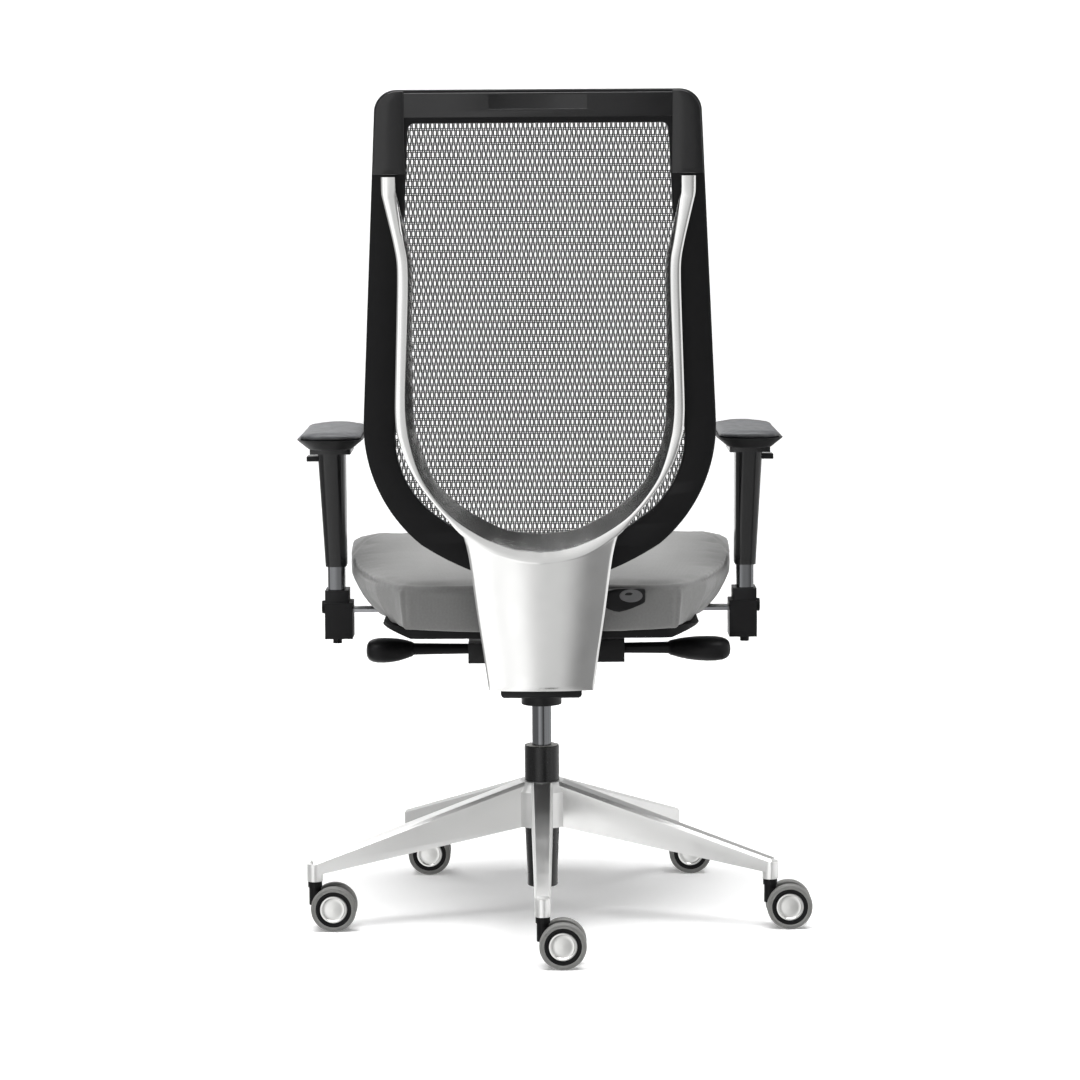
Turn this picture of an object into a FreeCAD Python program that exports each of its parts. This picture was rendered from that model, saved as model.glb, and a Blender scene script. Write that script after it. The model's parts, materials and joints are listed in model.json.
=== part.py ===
import FreeCAD, Part
import math
import os
import re
import Sketcher
from FreeCAD import Placement, Rotation, Vector

# Mesh-back task chair, millimetres, +Z up, facing +Y.
# The origin is on the gas column's axis at floor level.

SIZES = {
    # casters and five-star base
    "wheel_radius": 32.2,
    "wheel_width": 13,
    "tyre_depth": 6.8,
    "web_width": 17,
    "wheel_gap": 18.4,
    "trail": 27,
    "axle_radius": 4,
    "stem_radius": 5.5,
    "stem_circle": 340,
    "boss_radius": 11,
    "hub_radius": 40,
    "hub_low": 130,
    "hub_top": 195,
    "leg_root_width": 31,
    "leg_tip_width": 21,
    "leg_ridge_root": 24,
    "leg_ridge_tip": 15,
    "leg_shoulder_root": 5,
    "leg_shoulder_tip": 4,
    "leg_wall": 4,
    # gas column
    "column_radius": 25,
    "column_top": 246,
    "column_low": 40,
    "column_wall": 2.5,
    "rod_radius": 14,
    "piston_rod_radius": 5,
    "lift_down": 50,
    "lift_up": 50,
    "rod_top": 360,
    "pin_radius": 3,
    "pin_top": 370,
    # mechanism
    "collar_radius": 29,
    "collar_low": 306,
    "sump_half": 58,
    "sump_low": 320,
    "sump_long": 92,
    "tray_half": 62,
    "block_left": 105,
    "block_right": 120,
    "tray_low": 350,
    "tray_top": 388,
    "tray_back": -85,
    "tray_front": 125,
    "tray_wall": 5,
    "shaft_radius": 6,
    "recline_y": -60,
    "recline_z": 377,
    "tilt_y": 110,
    "tilt_z": 376,
    "lever_radius": 6.5,
    "lever_y": 18,
    "lever_z": 384,
    "lever_clear": 1,
    "height_paddle": 84,
    "tilt_paddle": 64,
    "paddle_radius": 17.5,
    "paddle_deep": 56,
    # seat
    "plate_low": 420,
    "plate_thick": 4,
    "plate_half": 80,
    "plate_back": -120,
    "pan_thick": 9,
    "seat_low": 441,
    "seat_rise": 500,
    "seat_front_top": 528,
    "seat_back": -192,
    "seat_front": 285,
    "seat_rear_half": 191,
    "seat_half": 275,
    "seat_taper": 34,
    # back
    "frame_half": 241,
    "frame_bend_half": 164,
    "frame_top_half": 218,
    "frame_top": 1178,
    "frame_bottom": 515,
    "frame_band": 44,
    "frame_thick": 20,
    "lumbar_z": 640,
    "lumbar_y": -207,
    "lumbar_radius": 520,
    "lumbar_rise": 100,
    "frame_corner": 30,
    "cover_thick": 3,
    "cover_drop": 112,
    "mesh_thick": 1.6,
    "yoke_depth": 16,
    "yoke_width": 20,
    "plate_top_half": 97,
    "plate_end_half": 72,
    "plate_end_z": 353,
    "paddle_pivot": 88,
    "paddle_z": 482,
    "blade_long": 58,
    "blade_tall": 33,
    # armrests
    "arm_y": 50,
    "post_width": 24,
    "post_length": 40,
    "post_low": 444,
    "post_top": 600,
    "socket_wall": 8,
    "socket_shift": 3.5,
    "socket_low": 398,
    "socket_rise": 468.5,
    "sleeve_lean": 4.7,
    "knob_z": 442,
    "sleeve_low": 503,
    "sleeve_top": 668,
    "flange_top": 680,
    "shell_top": 694.5,
    "pad_top": 701,
    "pad_width": 95,
    "pad_length": 265,
    "bar_low": 436,
    "bar_thick": 5,
    "bar_width": 36,
    # distances between parts
    "wheel_to_leg": 5.6,
    "boss_tall": 29,
    "pan_inset": 53,
    "arm_clear": 21.5,
    "tip_below_top": 115,
    "waist_below_tip": 112,
    "tip_inset": 5,
    "waist_inset": 52,
    "hip_inset": 44,
    "yoke_stand_off": 1,
    # clearances
    "running": 0.05,
    "gap": 0.4,
}

# Sizes that follow from others, so that the pieces still meet when one of those changes
RELATIONS = {
    "neck_top": "(2*{wheel_radius} + 5)",
    "boss_low": "(2*{wheel_radius} + {wheel_to_leg})",
    "boss_top": "({boss_low} + {boss_tall})",
    "socket_top": "({boss_top} - 5)",
    "pan_half": "({seat_half} - {pan_inset})",
    "arm_x": "({seat_half} + {arm_clear})",
    "pad_x": "({arm_x} + 1)",
    "socket_half": "({post_width}/2 + {socket_wall})",
    "lever_end": "({arm_x} - {socket_shift} - {socket_half} - {lever_clear} - {height_paddle})",
    "yoke_tip_z": "({frame_top} - {tip_below_top})",
    "yoke_tip_half": "({frame_top_half} - {tip_inset})",
    "yoke_waist_half": "({frame_half} - {waist_inset})",
    "yoke_hip_half": "({frame_half} - {hip_inset})",
    "lumbar_top": "({lumbar_z} + {lumbar_rise})",
    "lumbar_drop": "({lumbar_radius} - sqrt({lumbar_radius}^2 - {lumbar_rise}^2))",
    "back_slope": "({lumbar_rise}/sqrt({lumbar_radius}^2 - {lumbar_rise}^2))",
}

LEG_ANGLES = (-90, -18, 54, 126, 198)
SIDES = (("left", -1), ("right", 1))

os.makedirs("parts", exist_ok=True)
doc = FreeCAD.newDocument("task_chair")
sizes = doc.addObject("Spreadsheet::Sheet", "Sizes")
for row, (alias, number) in enumerate(SIZES.items(), 1):
    sizes.set("A%d" % row, alias)
    sizes.set("B%d" % row, str(number))
    sizes.setAlias("B%d" % row, alias)
doc.recompute()
nodes = []


def tie(text):
    """Turns {name} into a reference to that cell of the sheet, through the relations."""
    text = str(text)
    while "{" in text:
        text = re.sub(r"\{(\w+)\}", lambda m: RELATIONS.get(m[1], "Sizes." + m[1]), text)
    return text


def value(text):
    """The number that an expression has now."""
    found = sizes.evalExpression(tie(text))
    return float(getattr(found, "Value", found))


def bind(thing, prop, text):
    thing.setExpression(prop, tie(text))


def place(thing, x="0", y="0", z="0", turn=None):
    thing.Placement = Placement(Vector(value(x), value(y), value(z)), turn or Rotation())
    for axis, text in zip("xyz", (x, y, z)):
        bind(thing, "Placement.Base." + axis, text)


def node(thing, label):
    """Names a finished sub-part and lists it for export."""
    thing.Label = label
    nodes.append(thing)
    return thing


# Part primitives tied to the sheet
TURNS = {
    "Z": Rotation(),
    "X": Rotation(Vector(0, 1, 0), 90),
    "Y": Rotation(Vector(1, 0, 0), -90),
}


def rod(radius, length, x="0", y="0", z="0", axis="Z"):
    """A cylinder that starts at x, y, z and runs along +axis."""
    thing = doc.addObject("Part::Cylinder", "rod")
    bind(thing, "Radius", radius)
    bind(thing, "Height", length)
    place(thing, x, y, z, TURNS[axis])
    return thing


def cone(low, high, length, x="0", y="0", z="0"):
    thing = doc.addObject("Part::Cone", "cone")
    bind(thing, "Radius1", low)
    bind(thing, "Radius2", high)
    bind(thing, "Height", length)
    place(thing, x, y, z)
    return thing


def block(wide, deep, tall, x, y, z):
    """A box centred on x and y that stands on z."""
    thing = doc.addObject("Part::Box", "block")
    bind(thing, "Length", wide)
    bind(thing, "Width", deep)
    bind(thing, "Height", tall)
    place(thing, "(%s) - (%s)/2" % (x, wide), "(%s) - (%s)/2" % (y, deep), z)
    return thing


def fuse(*things):
    thing = doc.addObject("Part::MultiFuse", "fuse")
    thing.Shapes = list(things)
    thing.Refine = True
    return thing


def cut(base, *tools):
    thing = doc.addObject("Part::Cut", "cut")
    thing.Base = base
    thing.Tool = tools[0] if len(tools) == 1 else fuse(*tools)
    return thing


def common(first, second):
    thing = doc.addObject("Part::MultiCommon", "common")
    thing.Shapes = [first, second]
    return thing


def group(*things):
    """Separate solids that share one node."""
    thing = doc.addObject("Part::Compound", "group")
    thing.Links = list(things)
    return thing


def ring(outer, inner, length, x="0", y="0", z="0", axis="Z"):
    return cut(rod(outer, length, x, y, z, axis), rod(inner, length, x, y, z, axis))


# PartDesign bodies with sketches tied to the sheet
def new_body(name):
    return doc.addObject("PartDesign::Body", name)


def origin_of(body, role):
    for feature in body.Origin.OriginFeatures:
        if feature.Role == role:
            return feature
    raise RuntimeError("no " + role)


def new_sketch(body, plane, offset="0"):
    sketch = body.newObject("Sketcher::SketchObject", "outline")
    sketch.AttachmentSupport = [(origin_of(body, plane), "")]
    sketch.MapMode = "FlatFace"
    bind(sketch, "AttachmentOffset.Base.z", offset)
    return sketch


def fix(sketch, kind, refs, text):
    index = sketch.addConstraint(Sketcher.Constraint(kind, *refs, value(text)))
    bind(sketch, "Constraints[%d]" % index, text)


def add_arc(sketch, start, end, rise):
    """Adds an arc that bulges by rise to the right of its way, and says which end is which."""
    chord = end.sub(start)
    outward = Vector(chord.y, -chord.x, 0).normalize()
    radius = (chord.Length ** 2 / 4 + rise ** 2) / (2 * abs(rise))
    side = math.copysign(1, rise)
    centre = start.add(end).multiply(0.5).add(outward * (rise - side * radius))
    first = math.atan2(start.y - centre.y, start.x - centre.x)
    last = math.atan2(end.y - centre.y, end.x - centre.x)
    forward = rise > 0
    angles = (first, last) if forward else (last, first)
    circle = Part.Circle(centre, Vector(0, 0, 1), radius)
    index = sketch.addGeometry(Part.ArcOfCircle(circle, *angles))
    return index, (1, 2) if forward else (2, 1)


def outline(sketch, points):
    """Closed loop through points, anticlockwise: (x, y) or (x, y, rise of the arc to the next)."""
    count = len(points)
    spots = [Vector(value(p[0]), value(p[1]), 0) for p in points]
    edges = []
    for i in range(count):
        start, end = spots[i], spots[(i + 1) % count]
        if len(points[i]) == 3:
            edges.append(add_arc(sketch, start, end, value(points[i][2])))
        else:
            edges.append((sketch.addGeometry(Part.LineSegment(start, end)), (1, 2)))
    for i in range(count):
        edge, ends = edges[i]
        following, next_ends = edges[(i + 1) % count]
        join = Sketcher.Constraint("Coincident", edge, ends[1], following, next_ends[0])
        sketch.addConstraint(join)
        fix(sketch, "DistanceX", (-1, 1, edge, ends[0]), points[i][0])
        fix(sketch, "DistanceY", (-1, 1, edge, ends[0]), points[i][1])
        if len(points[i]) == 3:
            here, there = points[i], points[(i + 1) % count]
            run = "((%s) - (%s))^2 + ((%s) - (%s))^2" % (there[0], here[0], there[1], here[1])
            rise = "abs(%s)" % here[2]
            radius = "((%s)/4 + %s^2)/(2*%s)" % (run, rise, rise)
            fix(sketch, "Radius", (edge,), radius)
    return sketch


def round_corners(x, y, wide, deep, radius):
    """Outline points of a rectangle with round corners, centred on x and y."""
    rise = "(%s)*(1 - cos(45))" % radius
    near = [("+", "-"), ("+", "+"), ("-", "+"), ("-", "-")]
    points = []
    for i, (sx, sy) in enumerate(near):
        edge_x = "(%s) %s (%s)/2" % (x, sx, wide)
        edge_y = "(%s) %s (%s)/2" % (y, sy, deep)
        in_x = "%s %s (%s)" % (edge_x, "-" if sx == "+" else "+", radius)
        in_y = "%s %s (%s)" % (edge_y, "-" if sy == "+" else "+", radius)
        pair = [(in_x, edge_y, rise), (edge_x, in_y)]
        if i % 2:
            pair = [(edge_x, in_y, rise), (in_x, edge_y)]
        points += pair
    return points


def mirrored(points):
    """Closes a right-hand half outline that runs upwards with its mirror image."""
    other = []
    for i in range(len(points) - 1, -1, -1):
        x, y = points[i][0], points[i][1]
        rise = points[i - 1][2:] if i else ()
        other.append(("-(%s)" % x, y) + tuple(rise))
    return points + other


def pad(body, sketch, length, both=False):
    feature = body.newObject("PartDesign::Pad", "pad")
    feature.Profile = sketch
    feature.SideType = "Symmetric" if both else "One side"
    bind(feature, "Length", length)
    return feature


def pocket(body, sketch, length, both=False, other_way=False):
    feature = body.newObject("PartDesign::Pocket", "pocket")
    feature.Profile = sketch
    feature.SideType = "Symmetric" if both else "One side"
    feature.Reversed = other_way
    bind(feature, "Length", length)
    return feature


def revolve(body, points, plane="XZ_Plane"):
    feature = body.newObject("PartDesign::Revolution", "revolution")
    feature.Profile = outline(new_sketch(body, plane), points)
    feature.ReferenceAxis = (feature.Profile[0], ["V_Axis"])
    feature.Angle = 360
    return feature


def loft(body, sections, subtract=False):
    kind = "PartDesign::SubtractiveLoft" if subtract else "PartDesign::AdditiveLoft"
    feature = body.newObject(kind, "loft")
    feature.Profile = sections[0]
    feature.Sections = sections[1:]
    feature.Ruled = True
    return feature


def tapered(name, low, high, low_z, high_z):
    """A body lofted between two outlines on level planes."""
    body = new_body(name)
    sections = [
        outline(new_sketch(body, "XY_Plane", low_z), low),
        outline(new_sketch(body, "XY_Plane", high_z), high),
    ]
    loft(body, sections)
    return body


# Five-star base: a hub with five ribbed legs, hollow underneath
def leg_section(body, reach, width, ridge, low, top, shoulder):
    half = "(%s)/2" % width
    crest = "(%s)/2" % ridge
    points = [
        (half, low),
        (half, "(%s) - %s" % (top, shoulder)),
        (crest, top),
        ("-" + crest, top),
        ("-" + half, "(%s) - %s" % (top, shoulder)),
        ("-" + half, low),
    ]
    return outline(new_sketch(body, "YZ_Plane", reach), points)


def base_star():
    body = new_body("base_star")
    revolve(body, [
        ("{column_radius}", "{hub_low}"),
        ("{hub_radius}", "{hub_low}"),
        ("{hub_radius}", "{hub_top} - 14"),
        ("{hub_radius} - 8", "{hub_top}"),
        ("{column_radius}", "{hub_top}"),
    ])
    tip = "{stem_circle} + 4"
    leg = loft(body, [
        leg_section(body, "{column_radius} + 5", "{leg_root_width}", "{leg_ridge_root}",
                    "{hub_low}", "{hub_top}", "{leg_shoulder_root}"),
        leg_section(body, tip, "{leg_tip_width}", "{leg_ridge_tip}",
                    "{boss_low} + 9", "{boss_top} - 0.5", "{leg_shoulder_tip}"),
    ])
    boss = pad(body, outline(new_sketch(body, "XY_Plane", "{boss_low}"), round_corners(
        "{stem_circle}", "0", "2*{boss_radius}", "2*{boss_radius}",
        "{boss_radius} - 0.5")), "{boss_top} - 4 - {boss_low}")
    inner = "{leg_root_width} - 2*{leg_wall}"
    end = "{leg_tip_width} - 2*{leg_wall}"
    channel = loft(body, [
        leg_section(body, "{hub_radius} + 6", inner, "{leg_ridge_root} - 4",
                    "{hub_low} - 30", "{hub_top} - {leg_wall} - 9", 13),
        leg_section(body, "{stem_circle} - {boss_radius} - 6", end, "{leg_ridge_tip} - 4",
                    "{boss_low} - 30", "{boss_top} - {leg_wall} - 2", 6),
    ], subtract=True)
    hole = outline(new_sketch(body, "XY_Plane", "{boss_low} - 1"), round_corners(
        "{stem_circle}", "0", "2*({stem_radius} + {running})",
        "2*({stem_radius} + {running})", "{stem_radius} + {running} - 0.001"))
    socket = pocket(body, hole, "{socket_top} - {boss_low} + 1", other_way=True)
    pattern = body.newObject("PartDesign::PolarPattern", "five_legs")
    pattern.Originals = [leg, boss, channel, socket]
    pattern.Axis = (origin_of(body, "Z_Axis"), [""])
    pattern.Angle = 360
    pattern.Occurrences = len(LEG_ANGLES)
    body.Tip = pattern
    body.Placement = Placement(Vector(), Rotation(Vector(0, 0, 1), LEG_ANGLES[0]))
    node(body, "base_star")


# One twin-wheel caster, its wheels trailing the stem towards +X
def caster(number, angle):
    stem_x = "{stem_circle}*cos(%s)" % angle
    stem_y = "{stem_circle}*sin(%s)" % angle
    wheel_x = stem_x + " + {trail}"
    level = "{wheel_radius}"
    web_side = "%s - {web_width}/2" % stem_y
    name = "caster_%d_" % number
    neck_low = "({wheel_radius} + 3.8)"
    pin_low = "({wheel_radius} + 13.8)"
    disc = rod("{wheel_radius} - 8", "{web_width}", wheel_x, web_side, level, "Y")
    bridge = block("{trail}", "{web_width}", "{wheel_radius} - 10.2", stem_x + " + {trail}/2", stem_y,
                   "{wheel_radius} + 2")
    neck = rod("{web_width}/2", "{neck_top} - " + neck_low, stem_x, stem_y, neck_low)
    collar = rod("{stem_radius} + 4.5", "8", stem_x, stem_y, "{neck_top} - 8")
    shell = fuse(disc, bridge, neck, collar)
    stem_hole = rod("{stem_radius}", "{neck_top} - " + pin_low, stem_x, stem_y, pin_low)
    axle_hole = rod("{axle_radius}", "{web_width}", wheel_x, web_side, level, "Y")
    node(cut(shell, stem_hole, axle_hole), name + "hood")
    stem = rod("{stem_radius}", "{socket_top} - 0.5 - " + pin_low, stem_x, stem_y, pin_low)
    reach = "{wheel_gap} + 2*{wheel_width} - 8"
    axle = rod("{axle_radius}", reach, wheel_x, "%s - (%s)/2" % (stem_y, reach), level, "Y")
    node(group(stem, axle), name + "pins")
    rims = []
    tyres = []
    for side in (-1, 1):
        start = "%s + %d*({wheel_gap} + {wheel_width})/2 - {wheel_width}/2" % (stem_y, side)
        rim = "{wheel_radius} - {tyre_depth}"
        spot = (wheel_x, start, level, "Y")
        rims.append(ring(rim, "{axle_radius} + {running}", "{wheel_width}", *spot))
        tyres.append(ring("{wheel_radius}", rim, "{wheel_width}", *spot))
    node(group(*rims), name + "wheels")
    node(group(*tyres), name + "tyres")


# Gas column: outer tube, guide bush, piston rod on its bearing, and the sliding cylinder
def gas_column():
    body = new_body("column_tube")
    wall = "{column_radius} - {column_wall}"
    floor = "{column_low} + 3"
    revolve(body, [
        ("{piston_rod_radius} + {running}", "{column_low}"),
        ("{column_radius} - 3", "{column_low}"),
        ("{column_radius} - 3", "{column_low} + 22"),
        ("{column_radius}", "{hub_low} - 4"),
        ("{column_radius}", "{column_top}"),
        (wall, "{column_top}"),
        (wall, "{hub_low} - 4"),
        (wall + " - 3", "{column_low} + 22"),
        (wall + " - 3", floor),
        ("{piston_rod_radius} + {running}", floor),
    ])
    node(body, "column_tube")
    node(ring(wall, "{rod_radius} + {running}", "70", z="{column_top} - 70"), "column_bush")
    node(ring("12", "{piston_rod_radius} + {running}", "6", z=floor), "thrust_bearing")
    bearing_top = "{column_low} + 9"
    piston_low = "({column_low} + 161)"
    shaft = rod("{piston_rod_radius}", piston_low + " + 4 - {column_low}", z="{column_low} - 4")
    shoulder = rod("9", "4", z=bearing_top + " + 0.2")
    piston = rod("10.4", "12", z=piston_low)
    node(fuse(shaft, shoulder, piston), "piston_rod")
    node(ring("9", "{piston_rod_radius}", "1.4", z="{column_low} - 1.8"), "column_clip")
    taper_low = "{collar_low} + 4"
    body = new_body("gas_cylinder")
    bore_low = "{column_low} + 78"
    revolve(body, [
        ("{piston_rod_radius} + {running}", "{column_low} + 68"),
        ("{rod_radius}", "{column_low} + 68"),
        ("{rod_radius}", taper_low),
        ("{rod_radius} - 0.8", "{rod_top}"),
        ("{pin_radius} + {running}", "{rod_top}"),
        ("{pin_radius} + {running}", "{rod_top} - 32"),
        ("10.5", "{rod_top} - 32"),
        ("10.5", bore_low),
        ("{piston_rod_radius} + {running}", bore_low),
    ])
    node(body, "gas_cylinder")
    node(rod("{pin_radius}", "{pin_top} - {rod_top} + 26", z="{rod_top} - 26"), "release_pin")


# Mechanism: die-cast tray on the cylinder's taper, with the two pivot shafts
def mechanism():
    long = "{tray_front} - {tray_back}"
    middle = "({tray_front} + {tray_back})/2"
    tray = block("2*{tray_half}", long, "{tray_top} - {tray_low}", "0", middle, "{tray_low}")
    sump = block("2*{sump_half}", "{sump_long}", "{tray_low} - {sump_low}", "0", "0",
                 "{sump_low}")
    collar = rod("{collar_radius}", "{tray_low} - {collar_low}", z="{collar_low}")
    deep = "62"
    right = block("{block_right} - {tray_half}", deep, "33", "({tray_half} + {block_right})/2",
                  "{lever_y} + 4", "{lever_z} - 17")
    left = block("{block_left} - {tray_half}", deep, "29", "-({tray_half} + {block_left})/2",
                 "{lever_y} + 4", "{lever_z} - 18")
    shell = fuse(tray, sump, collar, right, left)
    inside = "2*({tray_half} - {tray_wall})"
    hollow = block(inside, "%s - 2*{tray_wall}" % long, "60", "0", middle,
                   "{tray_low} + {tray_wall}")
    well = block("2*({sump_half} - {tray_wall})", "{sump_long} - 2*{tray_wall}", "60", "0", "0",
                 "{sump_low} + {tray_wall}")
    shell = cut(shell, hollow, well)
    seat = rod("{collar_radius} - 6", "{rod_top} - 4 - {sump_low}", z="{sump_low}")
    taper_low = "{collar_low} + 4"
    taper = cone("{rod_radius}", "{rod_radius} - 0.8", "{rod_top} - (%s)" % taper_low,
                 z=taper_low)
    mouth = rod("{rod_radius}", "5", z="{collar_low} - 1")
    span = "2*{tray_half} + 2"
    rear = rod("{shaft_radius}", span, "-{tray_half} - 1", "{recline_y}", "{recline_z}", "X")
    front = rod("{shaft_radius} - 1", span, "-{tray_half} - 1", "{tilt_y}", "{tilt_z}", "X")
    levers = rod("{lever_radius} + {running}", "{block_left} + {block_right} + 4",
                 "-{block_left} - 2", "{lever_y}", "{lever_z}", "X")
    strut_rear = block("20", "24", "{tray_top} - {tray_low}", "0", "{recline_y}", "{tray_low}")
    shell = fuse(shell, seat, strut_rear)
    node(cut(shell, taper, mouth, rear, front, levers), "mechanism_housing")
    width = "2*{tray_half} + 26"
    rear_pin = rod("{shaft_radius}", width, "-{tray_half} - 13", "{recline_y}",
                   "{recline_z}", "X")
    front_pin = rod("{shaft_radius} - 1", width, "-{tray_half} - 13", "{tilt_y}",
                    "{tilt_z}", "X")
    node(group(rear_pin, front_pin), "pivot_shafts")
    bands = []
    for side in (-1, 1):
        bands.append(ring("12.5", "{shaft_radius}", "2*{tray_half}/3 - 10",
                          "%d*{tray_half}/2 - {tray_half}/3 + 5" % side,
                          "{recline_y}", "{recline_z}", "X"))
    node(group(*bands), "tension_springs")
    lid = block("2*{tray_half}", long, "1.6", "0", middle, "{tray_top}")
    opening = block("2*{tray_half} + 2", "40", "4", "0", "{lever_y}", "{tray_top} - 1")
    rear_opening = block(inside, "34", "4", "0", "{recline_y}", "{tray_top} - 1")
    node(cut(lid, opening, rear_opening), "mechanism_cover")


def paddle_lever(label, side, paddle, finger):
    """A round lever shaft along X with a soft-edged paddle at its outer end."""
    inner = "-6" if finger else "({tray_half} - 14)"
    length = "{lever_end} - %s + 6" % inner
    axis = ("{lever_y}", "{lever_z}", "X")
    if side > 0:
        shaft = rod("{lever_radius}", length, inner, *axis)
        handle = rod("{paddle_radius}", paddle, "{lever_end}", *axis)
    else:
        shaft = rod("{lever_radius}", length, "-{lever_end} - 6", *axis)
        handle = rod("{paddle_radius}", paddle, "-{lever_end} - %s" % paddle, *axis)
    middle = "%d*({lever_end} + %s/2)" % (side, paddle)
    flat = block("%s + 2" % paddle, "46", "2*{paddle_radius} - 2", middle, "{lever_y} - 14",
                 "{lever_z} - {paddle_radius} + 1")
    body = new_body(label + "_blade")
    plan = round_corners(middle, "{lever_y} - 12", paddle, "{paddle_deep}", "16")
    pad(body, outline(new_sketch(body, "XY_Plane", "{lever_z} - 11"), plan), "22")
    pieces = [shaft, common(handle, flat), body]
    if finger:
        pieces.append(block("10", "{lever_y} + 4", "{lever_z} - {pin_top} - 0.4", "0",
                            "({lever_y} - 4)/2", "{pin_top} + 0.4"))
    node(fuse(*pieces), label)


# Seat: plate on the front pivot, moulded pan that slides on it, cushion
def bracket_screws(side, radius, low, length):
    """Cylinders where the two screws of an armrest bracket go."""
    spots = ("{plate_half} - 20", "{plate_half} + 2")
    return [rod(radius, length, "%d*(%s)" % (side, x), "{arm_y}", low) for x in spots]


def seat_plate():
    long = "{tray_front} - {plate_back}"
    middle = "({tray_front} + {plate_back})/2"
    plate = block("2*{plate_half} + 24", long, "{plate_thick}", "0", middle, "{plate_low}")
    pieces = [plate]
    for side in (-1, 1):
        ear_x = "%d*({tray_half} + 5)" % side
        pieces.append(block("6", "28", "{plate_low} - {tilt_z} + 12", ear_x, "{tilt_y}",
                            "{tilt_z} - 12"))
    hole = rod("{shaft_radius} - 1 + {running}", "2*{tray_half} + 40", "-{tray_half} - 20",
               "{tilt_y}", "{tilt_z}", "X")
    shanks = []
    screws = []
    below = "{plate_low} - {bar_thick}"
    for side in (-1, 1):
        shanks += bracket_screws(side, "3", "{plate_low}", "{plate_thick}")
        heads = bracket_screws(side, "5.5", below + " - 3", "3")
        threads = bracket_screws(side, "3", below, "{bar_thick} + {plate_thick}")
        screws += [fuse(*pair) for pair in zip(heads, threads)]
    node(cut(fuse(*pieces), hole, *shanks), "seat_plate")
    node(group(*screws), "bracket_screws")


def seat_outline(inset, front_inset):
    """Plan of the seat, right half from the rear centre round to the front centre."""
    rear = "{seat_rear_half} - %s*0.1" % inset
    side = "{seat_half} - %s" % inset
    half = [
        (rear, "{seat_back}", "3"),
        (side + " - 40", "{seat_back} + 130", "3"),
        (side + " - 11", "{seat_back} + 260", "3"),
        (side, "{seat_front} - 80 - %s" % front_inset, "11"),
        (side + " - 38", "{seat_front} - 12 - %s" % front_inset, "3"),
        ("({seat_half} - %s)*0.5" % inset, "{seat_front} - %s" % front_inset),
    ]
    return mirrored(half)


def seat():
    floor = "{plate_low} + {plate_thick} + {gap}"
    body = new_body("pan_section")
    rim = "{seat_low} - {gap}"
    section = mirrored([
        ("{pan_half} - 40", floor),
        ("{pan_half}", rim + " - 1.5"),
        ("{pan_half}", rim),
    ])
    long = "{seat_front} - {seat_back} - 70"
    pad(body, outline(new_sketch(body, "XZ_Plane"), section), long, both=True)
    place(body, y="({seat_front} + {seat_back})/2 - 12")
    corner = new_body("pan_plan")
    plan = round_corners("0", "({seat_front} + {seat_back})/2 - 12",
                         "2*{pan_half}", long, "60")
    pad(corner, outline(new_sketch(corner, "XY_Plane", "{plate_low}"), plan), "40")
    hollow = block("2*({pan_half} - 44)", "%s - 40" % long, "20", "0",
                   "({seat_front} + {seat_back})/2 - 12", floor + " + {pan_thick} - 4")
    node(cut(common(body, corner), hollow), "seat_pan")
    lower = tapered("cushion_lower", seat_outline("{seat_taper}", "24"), seat_outline("0", "0"),
                    "{seat_low}", "{seat_rise} - 14")
    body = new_body("cushion_upper")
    pad(body, outline(new_sketch(body, "XY_Plane", "{seat_rise} - 14"),
                      seat_outline("0", "0")), "{seat_front_top} - {seat_rise} + 14")
    wedge = new_body("cushion_top")
    profile = [
        ("{seat_back} - 20", "{seat_low} - 20"),
        ("{seat_front} + 20", "{seat_low} - 20"),
        ("{seat_front} + 20", "{seat_front_top} - 26"),
        ("{seat_front} - 40", "{seat_front_top}"),
        ("{seat_back} - 20", "{seat_rise} - 1"),
    ]
    pad(wedge, outline(new_sketch(wedge, "YZ_Plane"), profile), "3*{seat_half}", both=True)
    node(common(fuse(lower, body), wedge), "seat_cushion")


# Back: side profile of the frame's rear face, a lumbar arc and a straight top
def profile_points(shift, thick, low, top):
    """Band that leans back above the lumbar arc, shifted forward by shift."""
    drop_low = "({lumbar_radius} - sqrt({lumbar_radius}^2 - ({lumbar_z} - (%s))^2))" % low
    face = "{lumbar_y} + (%s)" % shift
    top_y = "%s - {lumbar_drop} - ((%s) - {lumbar_top})*{back_slope}" % (face, top)
    low_y = "%s - %s" % (face, drop_low)
    mid_y = "%s - {lumbar_drop}" % face
    run = "(({lumbar_top} - (%s))^2 + (%s - (%s))^2)/4" % (low, mid_y, low_y)
    rise = "({lumbar_radius} - sqrt({lumbar_radius}^2 - %s))" % run
    return [
        ("%s + (%s)" % (low_y, thick), low, rise),
        ("%s + (%s)" % (mid_y, thick), "{lumbar_top}"),
        ("%s + (%s)" % (top_y, thick), top),
        (top_y, top),
        (mid_y, "{lumbar_top}", "-1*" + rise),
        (low_y, low),
    ]


def frame_outline(inset, corner):
    """Front view of the back, inset all round, with top corners of that radius."""
    side = "{frame_top_half} - %s" % inset
    top = "{frame_top} - %s" % inset
    return mirrored([
        ("64", "{frame_bottom} + %s" % inset, "4"),
        ("{frame_bend_half} - %s*0.62" % inset, "{frame_bottom} + 46 + %s*0.78" % inset, "22"),
        ("{frame_half} - %s" % inset, "{lumbar_z} + 90", "0.5"),
        (side, "%s - %s" % (top, corner), "(%s)*(1 - cos(45))" % corner),
        ("%s - %s" % (side, corner), top),
    ])


def back_band(name, shift, thick, low, top):
    body = new_body(name)
    points = profile_points(shift, thick, low, top)
    pad(body, outline(new_sketch(body, "YZ_Plane"), points), "2*{frame_half} + 40", both=True)
    return body


def back_plan(name, points):
    body = new_body(name)
    pad(body, outline(new_sketch(body, "XZ_Plane"), points), "900", both=True)
    return body


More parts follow.
